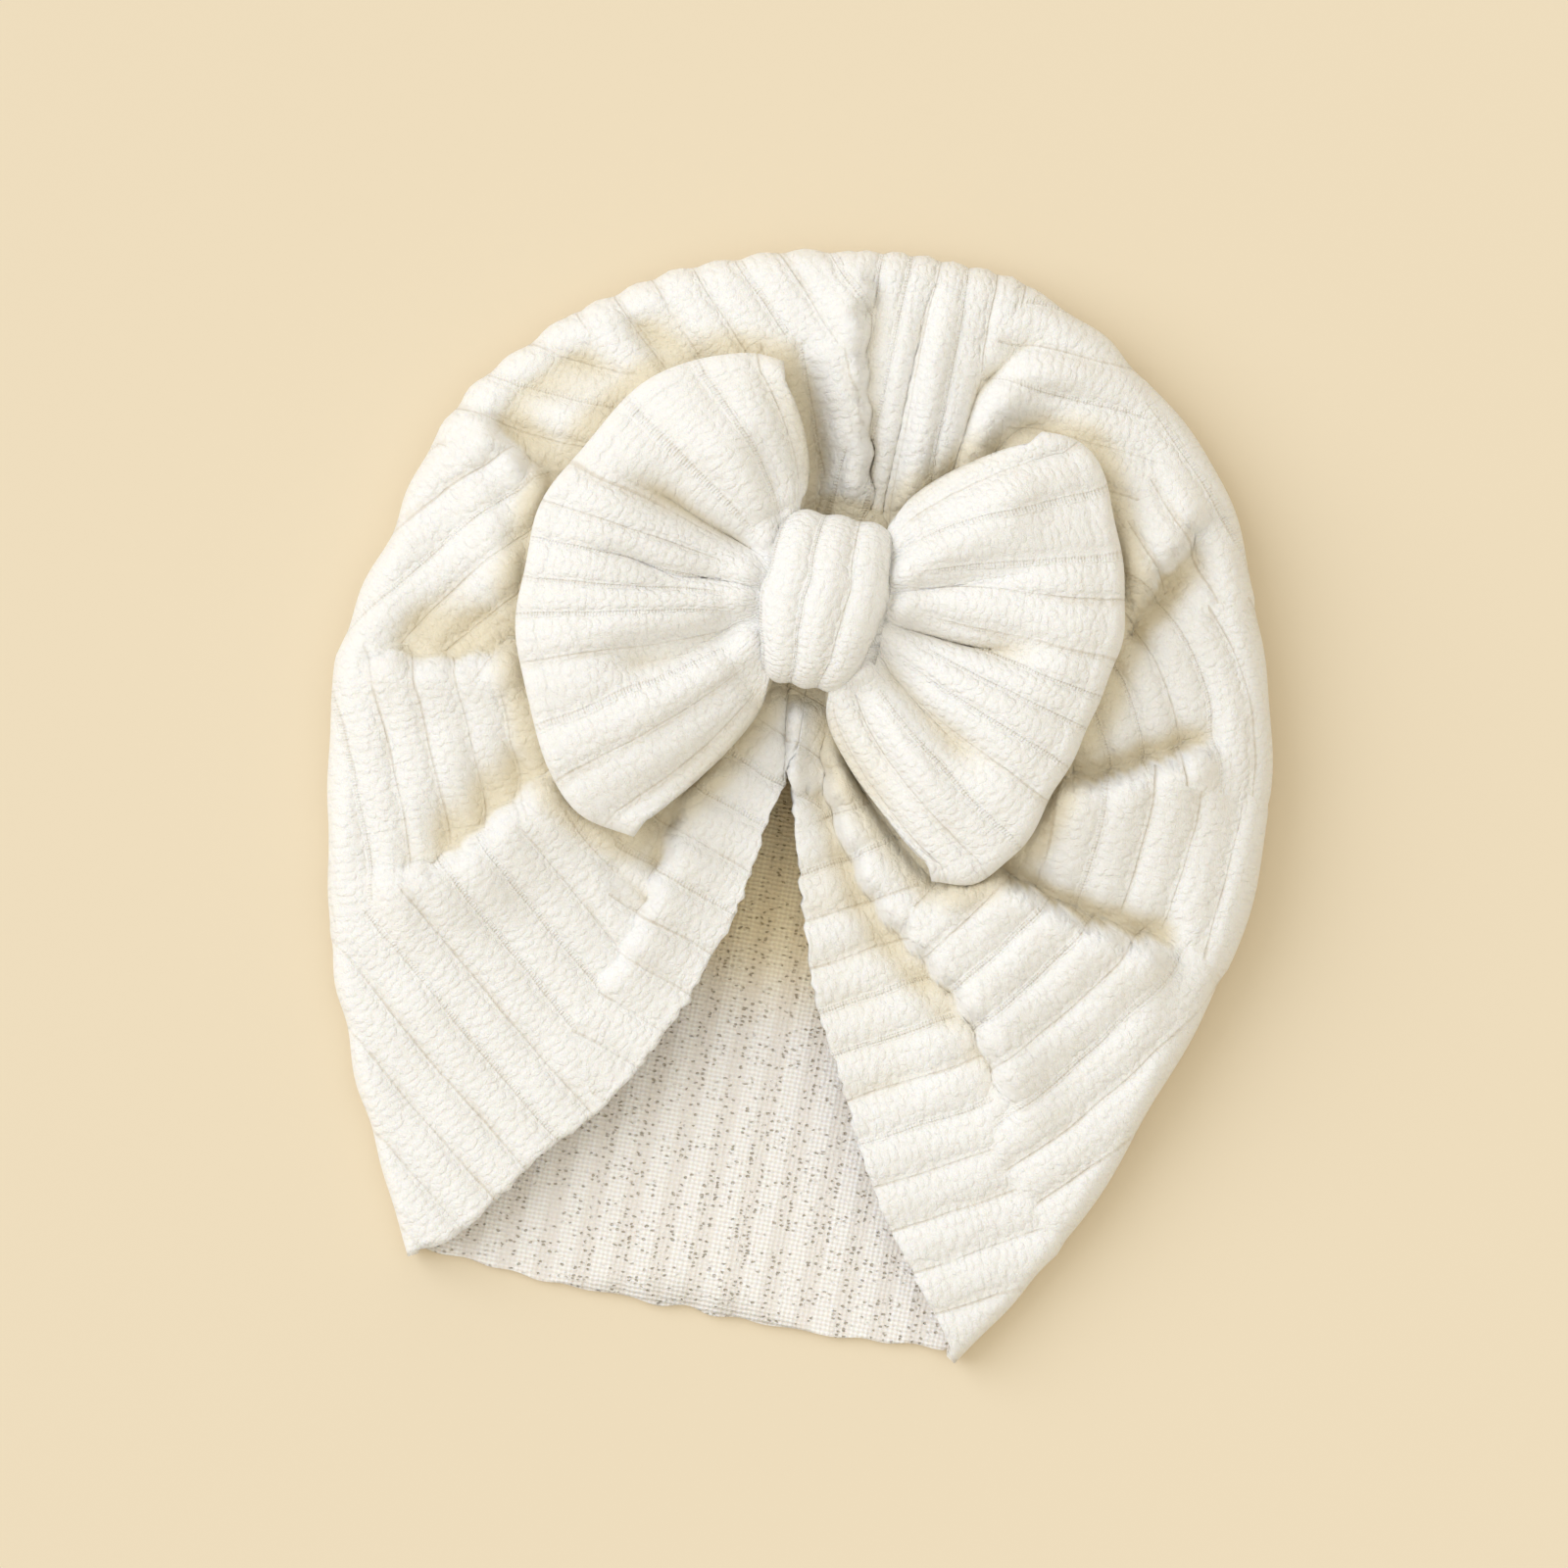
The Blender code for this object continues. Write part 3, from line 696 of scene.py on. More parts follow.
@dataclass
class Cap(ClothSheet):
    """The cap's one piece of knit: folded front, turned edge and flat back panel."""

    front_rows: int = 98
    rim_rows: int = 12

    def place(self, across: np.ndarray, along: np.ndarray) -> np.ndarray:
        """Where the cap's cloth lies: over the front from the gather, round the edge, back to the hem.

        Args:
            across: shares of the way round the outline.
            along: shares of the way to the hem.

        Returns:
            One row of x, y and z for each vertex.
        """
        row = along * self.rows
        edge = outline_points(across)
        offset = edge - np.array(GATHER)
        radius = np.hypot(offset[:, 0], offset[:, 1])
        outward = offset / radius[:, None]
        angle = angle_at(offset[:, 0], offset[:, 1])
        _, rim, _ = FORM.ray(angle)
        waver = 0.4 * lumps(across * 500, across * 0, 23, 5) + 0.5
        ripple = 0.9 * self.rib_relief(edge[:, 0], edge[:, 1]) + waver
        ripple = ripple * ease(across * 14) * ease((1 - across) * 14)
        floor = CAP_WALL / 2
        rise = (rim - floor) / 2
        turn = rise * RIM_ROUNDNESS
        top = math.radians(80)
        reach = radius - turn * (1 - math.cos(top))
        front = self.front(across, np.clip(row / self.front_rows, 0, 1), angle, reach)
        front_end = self.front(across, np.ones(len(across)), angle, reach)[:, 2]
        bend = mix(top, -math.pi / 2, np.clip((row - self.front_rows) / self.rim_rows, 0, 1))
        swell = turn * (1 - np.cos(bend)) - ripple * np.cos(bend) ** 2
        rim_xy = edge - outward * swell[:, None]
        above = front_end - floor - rise - rise * math.sin(top)
        joining = (np.maximum(np.sin(bend), 0) / math.sin(top)) ** 2
        rim_z = floor + rise + rise * np.sin(bend) + above * joining
        back_rows = self.rows - self.front_rows - self.rim_rows
        way = np.clip((row - self.front_rows - self.rim_rows) / back_rows, 0, 1)
        hem = mix(edge[np.argmin(across)], edge[np.argmax(across)], (0.25 + 0.5 * across)[:, None])
        back_xy = mix(edge - outward * turn[:, None], hem, way[:, None])
        fray = 0.5 * lumps(back_xy[:, 0], back_xy[:, 0] * 0, 9, 3) - 0.2
        at_hem = np.exp(-(((back_xy[:, 1] + HALF_LENGTH) / 4) ** 2))
        back_xy[:, 1] += fray * at_hem
        points = np.column_stack([back_xy, np.full(len(across), floor)])
        on_rim = row <= self.front_rows + self.rim_rows + 1e-6
        points[on_rim] = np.column_stack([rim_xy, rim_z])[on_rim]
        on_front = row <= self.front_rows + 1e-6
        points[on_front] = front[on_front]
        return points

    def front(
        self, across: np.ndarray, way: np.ndarray, angle: np.ndarray, reach: np.ndarray
    ) -> np.ndarray:
        """The folded front layer, a share of the way from the gather to the turned edge.

        Args:
            across: shares of the way round the outline.
            way: shares of the way to the edge.
            angle: the outline's directions from the gather, in degrees.
            reach: how far out the front goes in each, in millimetres.

        Returns:
            One row of x, y and z for each vertex.
        """
        left_end, right_end = FORM.angles[-1], FORM.angles[0]
        table = np.array(SLIT)
        left = 270 - np.interp(way, table[:, 0], table[:, 1]) * (270 - left_end) / table[-1, 1]
        right = -90 + np.interp(way, table[:, 0], table[:, 2]) * (right_end + 90) / table[-1, 2]
        now = np.radians(mix(left, right, (left_end - angle) / (left_end - right_end)))
        at_edge = np.exp(-np.minimum(across, 1 - across) * self.columns / 1.5)
        away = way * reach
        fray = at_edge * lumps(away, 40 * across, 2.6, 61) * ease((away - SLIT_POINT) / 5)
        now = now + EDGE_FRAY * fray / np.maximum(away, 8.0)
        x = GATHER[0] + np.cos(now) * away
        y = GATHER[1] + np.sin(now) * away
        return np.column_stack([x, y, self.front_height(x, y)])

    def front_height(self, x: np.ndarray, y: np.ndarray) -> np.ndarray:
        """Mid-cloth height of the front layer with its folds and ribs, pressed down under the bow.

        Args:
            x: places, in millimetres.
            y: places, in millimetres.

        Returns:
            The height in millimetres.
        """
        radius, _, _ = FORM.ray(angle_at(x - GATHER[0], y - GATHER[1]))
        inward = 1 - np.hypot(x - GATHER[0], y - GATHER[1]) / radius
        lift = sum(fold.lift(x, y) for fold in CAP_FOLDS)
        lift = lift + 0.5 * lumps(x, y, 26, 11) + 0.25 * lumps(x, y, 11, 12)
        lift = lift * mix(0.25, 1.0, ease(inward / 0.10))
        lift = lift + self.rib_relief(x, y) * ease(inward / 0.03)
        pressed = FORM.under_bow(x, y)
        lift = np.where(lift > 0, lift * (1 - pressed), lift)
        lowest = CAP_WALL * 1.6 + LAYER_GAP * 0.3
        return np.maximum(FORM.height(x, y) + lift, lowest)

    @staticmethod
    def rib_relief(x: np.ndarray, y: np.ndarray) -> np.ndarray:
        """The rounded ribs, fading where two patches meet.

        Args:
            x: places, in millimetres.
            y: places, in millimetres.

        Returns:
            The ribs' rise in millimetres.
        """
        apart = np.array([patch.apart(x, y) for patch in CAP_RIBS])
        order = np.sort(apart, axis=0)
        nearest = np.argmin(apart, axis=0)
        waves = np.array([np.cos(math.tau * patch.lay(x, y)[0]) for patch in CAP_RIBS])
        wave = waves[nearest, np.arange(len(x))]
        return -RIB_RELIEF * wave * ease((order[1] - order[0]) / 3)

    def ribs(self, points: np.ndarray, across: np.ndarray, along: np.ndarray) -> list:
        """The front's patches, then the back panel's straight ribs."""
        x, y = points[:, 0], points[:, 1]
        return [patch.lay(x, y) for patch in CAP_RIBS] + [(x / INNER_PITCH, y)]

    def patch_of(self, points: np.ndarray, along: np.ndarray) -> np.ndarray:
        """Each face's patch.

        Args:
            points: the faces' middles, in millimetres.
            along: their shares of the way along.

        Returns:
            The number of each face's way in ribs.
        """
        nearest = np.argmin([patch.apart(points[:, 0], points[:, 1]) for patch in CAP_RIBS], axis=0)
        on_back = along * self.rows > self.front_rows + self.rim_rows * 0.8
        return np.where(on_back, len(CAP_RIBS), nearest)

    def painted_shade(self, points: np.ndarray, across: np.ndarray, along: np.ndarray) -> np.ndarray:
        """Fold shade: in the front's folds and beside the bow, and on the back behind the slit's point.

        Args:
            points: the vertices, in millimetres.
            across: their shares of the way across; not used.
            along: their shares of the way along.

        Returns:
            The fold shade's strength, from 0 to 1.
        """
        x, y = points[:, 0], points[:, 1]
        # Painted shade in the front's folds, full at FULL_SHADE_DEPTH below the smooth form, weaker near
        # the turned edge.
        depth = np.clip((FORM.height(x, y) - points[:, 2]) / FULL_SHADE_DEPTH, 0, 1)
        depth = depth * (1 - 0.75 * ease((along * self.rows - self.front_rows + 4) / 6))
        on_back = along * self.rows > self.front_rows + self.rim_rows
        # Painted shade on the back panel, darker toward the slit's point, and on the front under and beside
        # the bow.
        behind = ease((y + 58) / 38)
        beside = 0.95 * FORM.under_bow(x, y, 8.0)
        return np.where(on_back, behind, np.maximum(depth, beside))


@dataclass
class Bow(ClothSheet):
    """The bow's one looped strip: two hollow wings and the pinched waist between them."""

    wing_rows: int = 60
    tip_rows: int = 14
    waist_rows: int = 10

    @staticmethod
    def waist_middle() -> float:
        """The height of the waist's middle."""
        return ((BAND_LOW[2] + BAND_HIGH[2]) / 2) / MM - 0.7

    @staticmethod
    def waist_half(place: np.ndarray) -> np.ndarray:
        """Half the height between the two layers at the waist."""
        middle = np.maximum(1 - np.abs(2 * place - 1) ** WAIST_ROUNDNESS, 0) ** (1 / WAIST_ROUNDNESS)
        return mix(WAIST_EDGE_HEIGHT / 2, WAIST_HEIGHT / 2, middle)

    def wing(self, place: np.ndarray, way: np.ndarray, side: int, top: np.ndarray) -> np.ndarray:
        """Points of a wing's upper or lower layer.

        Args:
            place: shares of the way across the strip.
            way: shares of the way out to the tip.
            side: -1 for the left wing, 1 for the right.
            top: which places are on the upper layer.

        Returns:
            One row of x, y and z for each place.
        """
        x, y = wing_path(place, way, side)
        inset = (BOW_TIP_LOFT / 2 + 1.4 - 0.7 * lumps(place * 100, place * 0, 15, 7 + side)) * way
        apart = np.hypot(x - GATHER[0], y - GATHER[1])
        x = x - (x - GATHER[0]) / apart * inset
        y = y - (y - GATHER[1]) / apart * inset
        laid = FORM.height(x, y) + (CAP_WALL + BOW_WALL) / 2 + SEAT_GAP
        low = mix(self.waist_middle() - self.waist_half(place), laid, ease(way * 3))
        crown = mix(0.36, 1.0, 1 - np.abs(2 * place - 1) ** 4.5)
        loft = mix(BOW_LOFT * crown, BOW_TIP_LOFT, way**2.5)
        loft = mix(2 * self.waist_half(place), loft, ease(way * 6))
        folds = LEFT_WING_FOLDS if side < 0 else RIGHT_WING_FOLDS
        lift = sum(fold.lift(x, y) for fold in folds)
        lift = lift * (1 - ease(way * 2.5 - 1.5)) * mix(0.3, 1.0, ease(way * 5))
        by_knot = (1 - ease(way * 2.2)) * ease(way * 8)
        gathers = 0.45 * np.cos(math.tau * (place * 5 + 0.4 * np.sin(place * 5) + 0.3)) * by_knot
        relief = -WING_RIB_RELIEF * np.cos(math.tau * self.passed(place, side)) * ease(way * 2.5 - 0.4)
        lift = lift + gathers + relief + 0.35 * lumps(x, y, 17, 21) * ease(way * 4)
        upper = low + np.maximum(loft + lift, BOW_WALL + 0.5)
        return np.column_stack([x, y, np.where(top, upper, low)])

    @staticmethod
    def passed(place: np.ndarray, side: int) -> np.ndarray:
        """Ribs passed across the strip."""
        grooves = LEFT_GROOVES if side < 0 else RIGHT_GROOVES
        return np.interp(place, grooves, np.arange(len(grooves)))

    def place(self, across: np.ndarray, along: np.ndarray) -> np.ndarray:
        """Where the strip lies: over the left wing and back under it, then round the right wing.

        Args:
            across: shares of the way across the strip.
            along: shares of the way along it.

        Returns:
            One row of x, y and z for each vertex.
        """
        wing = 2 * self.wing_rows + self.tip_rows
        row = along * self.rows
        right = row > wing + self.waist_rows + 1e-6
        row = np.where(right, row - wing - self.waist_rows, row)
        points = np.zeros((len(across), 3))
        for side, chosen in ((-1, ~right), (1, right)):
            points[chosen] = self.half(across[chosen], row[chosen], side)
        return points

    def half(self, place: np.ndarray, row: np.ndarray, side: int) -> np.ndarray:
        """One wing and the waist layer that follows it.

        Args:
            place: shares of the way across the strip.
            row: rows passed since the wing began.
            side: -1 for the left wing, 1 for the right.

        Returns:
            One row of x, y and z for each vertex.
        """
        wing = 2 * self.wing_rows + self.tip_rows
        first = row <= self.wing_rows + self.tip_rows / 2
        out = np.clip(np.where(first, row, wing - row) / self.wing_rows, 0, 1)
        points = self.wing(place, out, side, first if side < 0 else ~first)
        on_tip = (row > self.wing_rows) & (row < wing - self.wing_rows)
        upper = self.wing(place, np.ones(len(place)), side, np.ones(len(place), bool))
        lower = self.wing(place, np.ones(len(place)), side, np.zeros(len(place), bool))
        offset = upper[:, :2] - np.array(GATHER)
        outward = np.zeros((len(place), 3))
        outward[:, :2] = offset / np.hypot(offset[:, 0], offset[:, 1])[:, None]
        bend = math.pi * (row - self.wing_rows) / self.tip_rows
        bend = bend if side < 0 else math.pi - bend
        turned = (upper + lower) / 2 + (upper - lower) / 2 * np.cos(bend)[:, None]
        turned = turned + outward * (np.sin(bend) * BOW_TIP_LOFT / 2)[:, None]
        points[on_tip] = turned[on_tip]
        waist = row > wing
        reach = BAND_WIDTH / 2 + 0.2
        way = (row - wing) / self.waist_rows
        x = GATHER[0] + side * reach * (1 - 2 * way)
        y = GATHER[1] + mix(WAIST_WIDTH / 2, -WAIST_WIDTH / 2, place)
        z = self.waist_middle() + self.waist_half(place) * side
        points[waist] = np.column_stack([x, y, z])[waist]
        return points

    def plain(self, points: np.ndarray) -> np.ndarray:
        """The ribs melt into the gathers beside the knot."""
        return 1 - ease((np.hypot(points[:, 0] - GATHER[0], points[:, 1] - GATHER[1]) - 14) / 12)

    def painted_shade(self, points: np.ndarray, across: np.ndarray, along: np.ndarray) -> np.ndarray:
        """Painted shade where the wings lie low below their puffed-out height, fading out away from the
        knot.

        Args:
            points: the vertices, in millimetres.
            across: their shares of the way across; not used.
            along: their shares of the way along; not used.

        Returns:
            The fold shade's strength, from 0 to 1.
        """
        lift = points[:, 2] - FORM.height(points[:, 0], points[:, 1])
        away = np.hypot(points[:, 0] - GATHER[0], points[:, 1] - GATHER[1])
        return np.clip((12.5 - lift) / 8, 0, 1) * (1 - ease((away - 36) / 18))

    def ribs(self, points: np.ndarray, across: np.ndarray, along: np.ndarray) -> list:
        """Ribs run along the strip, from the knot out to each tip."""
        run = np.hypot(points[:, 0] - GATHER[0], points[:, 1] - GATHER[1])
        return [(self.passed(across, -1), run), (self.passed(across, 1), run)]

    def patch_of(self, points: np.ndarray, along: np.ndarray) -> np.ndarray:
        """The left wing's ribs, then the right one's."""
        return (points[:, 0] > GATHER[0]).astype(int)


@dataclass
class KnotBand(ClothSheet):
    """The strip wrapped once round the bow's waist."""

    def place(self, across: np.ndarray, along: np.ndarray) -> np.ndarray:
        """Where the band's cloth lies.

        Args:
            across: shares of the way across the band.
            along: shares of the way round.

        Returns:
            One row of x, y and z for each vertex.
        """
        grooves = np.cos(math.tau * self.passed(across))
        half_depth = BAND_HALF_DEPTH + 0.9 * (1 - np.abs(2 * across - 1) ** 4) - 0.3 * grooves
        half_height = (WAIST_HEIGHT + 2.0 + BAND_WALL) / 2 + 0.5
        angle = math.tau * along
        power = 2 / BAND_ROUNDNESS
        y = np.sign(np.cos(angle)) * np.abs(np.cos(angle)) ** power
        z = np.sign(np.sin(angle)) * np.abs(np.sin(angle)) ** power
        swell = BAND_SWELL * (1 - np.abs(2 * across - 1) ** 2.2) - 0.45 * grooves
        swell = swell * np.maximum(z, 0) * (1 - 0.35 * y**2)
        narrow = 1 - 0.12 * np.abs(y) ** 2.5 - 0.20 * np.maximum(-y, 0) ** 1.5
        x = GATHER[0] + (0.5 - across) * BAND_WIDTH * narrow - 0.9 * np.maximum(-y, 0)
        x = x + 0.5 * lumps(y * 30, across * 8, 19, 31) * np.maximum(z, 0)
        y = GATHER[1] - 0.4 + half_depth * y
        return np.column_stack([x, y, Bow.waist_middle() + half_height * z + swell])

    @staticmethod
    def passed(across: np.ndarray) -> np.ndarray:
        """Ribs passed across the band."""
        return across * BAND_RIBS + 0.05

    def ribs(self, points: np.ndarray, across: np.ndarray, along: np.ndarray) -> list:
        """Ribs run round the band."""
        return [(self.passed(across), along * 100)]


class NodeBoard:
    """A small helper that adds and joins shader nodes."""

    def __init__(self, tree: bpy.types.NodeTree) -> None:
        """Works on one node tree."""
        self.tree = tree

    def add(self, kind: str, **settings: object) -> bpy.types.Node:
        """Adds a node and sets its properties.

        Args:
            kind: the node's type.
            settings: its properties.

        Returns:
            The new node.
        """
        node = self.tree.nodes.new(kind)
        for name, value in settings.items():
            setattr(node, name, value)
        return node

    def feed(self, socket: bpy.types.NodeSocket, value: object) -> None:
        """Joins a socket to another, or sets its value.

        Args:
            socket: the input.
            value: an output to join it to, or a plain value.
        """
        if isinstance(value, bpy.types.NodeSocket):
            self.tree.links.new(value, socket)
        else:
            socket.default_value = value

    def maths(self, operation: str, *values: object) -> bpy.types.NodeSocket:
        """A Math node's result.

        Args:
            operation: the Math node's operation.
            values: sockets or numbers, in order.

        Returns:
            The result's socket.
        """
        node = self.add("ShaderNodeMath", operation=operation)
        for socket, value in zip(node.inputs, values):
            self.feed(socket, value)
        return node.outputs[0]

    def plus(self, first: object, second: object) -> bpy.types.NodeSocket:
        """The sum of two values."""
        return self.maths("ADD", first, second)

    def less(self, first: object, second: object) -> bpy.types.NodeSocket:
        """The first value less the second."""
        return self.maths("SUBTRACT", first, second)

    def times(self, first: object, second: object) -> bpy.types.NodeSocket:
        """The product of two values."""
        return self.maths("MULTIPLY", first, second)

    def beyond(self, value: object, place: float) -> bpy.types.NodeSocket:
        """How far a value is from a place, either way."""
        return self.maths("ABSOLUTE", self.less(value, place))

    def to_and_fro(self, value: object) -> bpy.types.NodeSocket:
        """Distance from the nearest whole number."""
        return self.maths("PINGPONG", value, 0.5)

    def smooth(
        self, value: object, low: float, high: float, start: float = 0.0, end: float = 1.0
    ) -> bpy.types.NodeSocket:
        """A smooth step of a value from low to high.

        Args:
            value: the socket to step.
            low: where the step starts.
            high: where it ends.
            start: the value before it.
            end: the value after it.

        Returns:
            The result's socket.
        """
        node = self.add("ShaderNodeMapRange", interpolation_type="SMOOTHSTEP")
        for name, number in (("From Min", low), ("From Max", high), ("To Min", start), ("To Max", end)):
            node.inputs[name].default_value = number
        self.feed(node.inputs["Value"], value)
        return node.outputs["Result"]

    def noise(
        self, vector: object, scale: float, detail: float = 3.0, rough: float = 0.55
    ) -> bpy.types.NodeSocket:
        """A noise texture's value.

        Args:
            vector: the coordinates' socket.
            scale: lumps for each metre.
            detail: layers of finer lumps.
            rough: how strong the finer ones are.

        Returns:
            The value's socket.
        """
        node = self.add("ShaderNodeTexNoise")
        self.feed(node.inputs["Vector"], vector)
        node.inputs["Scale"].default_value = scale
        node.inputs["Detail"].default_value = detail
        node.inputs["Roughness"].default_value = rough
        return node.outputs["Fac"]

    def blend(
        self, share: object, first: object, second: object, kind: str = "MIX"
    ) -> bpy.types.NodeSocket:
        """A mix of two colours.

        Args:
            share: how much of the second.
            first: a colour or its socket.
            second: a colour or its socket.
            kind: the way they mix.

        Returns:
            The result's socket.
        """
        node = self.add("ShaderNodeMix", data_type="RGBA", blend_type=kind)
        self.feed(node.inputs[0], share)
        self.feed(node.inputs[6], first)
        self.feed(node.inputs[7], second)
        return node.outputs[2]


class KnitGroup:
    """The knit's two faces as shader node groups that give a height and masks."""

    @staticmethod
    def start(
        name: str, outputs: tuple
    ) -> tuple[bpy.types.NodeTree, NodeBoard, bpy.types.Node, bpy.types.Node]:
        """An empty group that takes the ribs' UV map and the object's own coordinates.

        Args:
            name: the group's name.
            outputs: the names of what it puts out.

        Returns:
            The group, its board, its input node and its output node.
        """
        group = bpy.data.node_groups.new(name, "ShaderNodeTree")
        for title in ("Ribs", "Place"):
            group.interface.new_socket(title, in_out="INPUT", socket_type="NodeSocketVector")
        group.interface.new_socket("Plain", in_out="INPUT", socket_type="NodeSocketFloat")
        for title in outputs:
            group.interface.new_socket(title, in_out="OUTPUT", socket_type="NodeSocketFloat")
        board = NodeBoard(group)
        return group, board, board.add("NodeGroupInput"), board.add("NodeGroupOutput")

    def outer(self) -> bpy.types.NodeTree:
        """The brushed right side: soft grooves, ladder lines with a painted highlight, rows of tufts and
        nap.

        Returns:
            The finished group.
        """
        group, board, given, result = self.start("rib_face", ("Height", "GrooveShade", "Mottle", "ThreadHighlight"))
        where = given.outputs["Place"]
        ribs = board.add("ShaderNodeSeparateXYZ")
        board.feed(ribs.inputs[0], given.outputs["Ribs"])
        wander = board.times(board.less(board.noise(where, 60, 1), 0.5), 0.22)
        across = board.plus(ribs.outputs["X"], wander)
        run = ribs.outputs["Y"]
        signed = board.maths("WRAP", across, 0.5, -0.5)
        apart = board.maths("ABSOLUTE", signed)
        band = board.times(board.smooth(signed, -0.14, -0.05), board.smooth(signed, 0.04, 0.17, 1.0, 0.0))
        line = board.smooth(board.beyond(signed, -0.05), 0.0, 0.05, 1.0, 0.0)
        shoulder = board.smooth(apart, 0.03, 0.34)
        ladder = self.ladder(board, across, run, apart)
        puff = board.noise(where, 300, 2, 0.5)
        tuft = self.tufts(board, across, run, puff)
        nap = board.noise(where, 900, 3, 0.6)
        fibre = board.noise(where, 3200, 2, 0.7)
        ribbed = board.less(1.0, given.outputs["Plain"])
        height = board.less(board.times(shoulder, 0.7), board.times(line, 0.3))
        height = board.times(board.plus(height, board.times(ladder, 0.22)), ribbed)
        for bumps, rise in ((tuft, 0.38), (puff, 0.35), (nap, 0.38), (fibre, 0.55)):
            height = board.plus(height, board.times(bumps, rise))
        board.feed(result.inputs["Height"], height)
        patchy = board.smooth(board.noise(where, 70, 2), 0.35, 0.65, 0.35, 1.0)
        # Painted shade: darker in and beside the grooves and between the tufts, patchy at random.
        shade = board.plus(board.times(band, 0.42), board.times(line, 0.6))
        shade = board.times(board.times(shade, ribbed), patchy)
        shade_between_tufts = board.times(board.less(1.0, tuft), 0.26)
        board.feed(result.inputs["GrooveShade"], board.plus(shade, board.times(shade_between_tufts, patchy)))
        fine = board.smooth(board.noise(where, 1300, 3, 0.7), 0.35, 0.65)
        mottle = board.plus(board.times(fine, 0.4), board.noise(where, 90, 4, 0.6))
        board.feed(result.inputs["Mottle"], mottle)
        # Painted highlight on the ladder threads.
        board.feed(result.inputs["ThreadHighlight"], board.times(ladder, ribbed))
        return group

    @staticmethod
    def ladder(board: NodeBoard, across: object, run: object, apart: object) -> bpy.types.NodeSocket:
        """The ladder of threads beside some grooves, two rails and their rungs: a bump and a painted
        highlight.

        Args:
            board: the group's board.
            across: ribs passed.
            run: centimetres run.
            apart: distance from the nearest groove, in ribs.

        Returns:
            The threads' mask.
        """
        which = board.add("ShaderNodeTexWhiteNoise", noise_dimensions="1D")
        board.feed(which.inputs["W"], board.maths("ROUND", across))
        here = board.smooth(which.outputs["Value"], 0.5, 0.62)
        rail = board.smooth(board.beyond(apart, 0.075), 0.0, 0.04, 1.0, 0.0)
        rung = board.smooth(board.to_and_fro(board.times(run, RUNGS_PER_CM)), 0.1, 0.4)
        near = board.smooth(apart, 0.04, 0.09, 1.0, 0.0)
        return board.times(board.plus(rail, board.times(rung, near)), here)

    @staticmethod
    def tufts(board: NodeBoard, across: object, run: object, puff: object) -> bpy.types.NodeSocket:
        """The rows of small brushed tufts, from 0 between them to 1 on top.

        Args:
            board: the group's board.
            across: ribs passed.
            run: centimetres run.
            puff: noise that moves the rows about.

        Returns:
            The tufts' mask.
        """
        spot = board.add("ShaderNodeCombineXYZ")
        board.feed(spot.inputs[0], board.plus(board.times(across, TUFTS_PER_RIB), puff))
        board.feed(spot.inputs[1], board.plus(board.times(run, TUFTS_PER_CM), puff))
        tufts = board.add("ShaderNodeTexVoronoi", voronoi_dimensions="2D", feature="SMOOTH_F1")
        tufts.inputs["Scale"].default_value = 1.0
        tufts.inputs["Randomness"].default_value = 0.7
        tufts.inputs["Smoothness"].default_value = 0.15
        board.feed(tufts.inputs["Vector"], spot.outputs["Vector"])
        return board.smooth(tufts.outputs["Distance"], 0.2, 0.62, 1.0, 0.0)

    def inner(self) -> bpy.types.NodeTree:
        """The wrong side: fine courses and wales, a smoother stripe on each rib, and eyelets with painted
        shade.

        Returns:
            The finished group.
        """
        group, board, given, result = self.start("wrong_side", ("Height", "Eyelet", "Stripe"))
        where = given.outputs["Place"]
        ribs = board.add("ShaderNodeSeparateXYZ")
        board.feed(ribs.inputs[0], given.outputs["Ribs"])
        across, run = ribs.outputs["X"], ribs.outputs["Y"]
        band = board.to_and_fro(board.plus(across, 0.02))
        stripe = board.smooth(band, 0.17, 0.3)
        jitter = board.times(board.noise(where, 500, 2), 0.5)
        course = board.to_and_fro(board.plus(board.times(run, COURSES_PER_CM), jitter))
        wale = board.to_and_fro(board.plus(board.times(across, WALES_PER_RIB), jitter))
        hole = self.eyelets(board, where, band)
        height = board.plus(board.times(course, 0.5), board.times(wale, 0.35))
        height = board.less(height, board.times(hole, 0.9))
        height = board.plus(height, board.times(board.noise(where, 1300, 3), 0.4))
        height = board.plus(height, board.times(stripe, 0.25))
        board.feed(result.inputs["Height"], height)
        board.feed(result.inputs["Eyelet"], hole)
        weave = board.plus(board.times(course, 1.1), board.times(wale, 0.6))
        by_stripe = board.plus(0.7, board.times(stripe, 0.7))
        board.feed(result.inputs["Stripe"], board.times(weave, by_stripe))
        return group

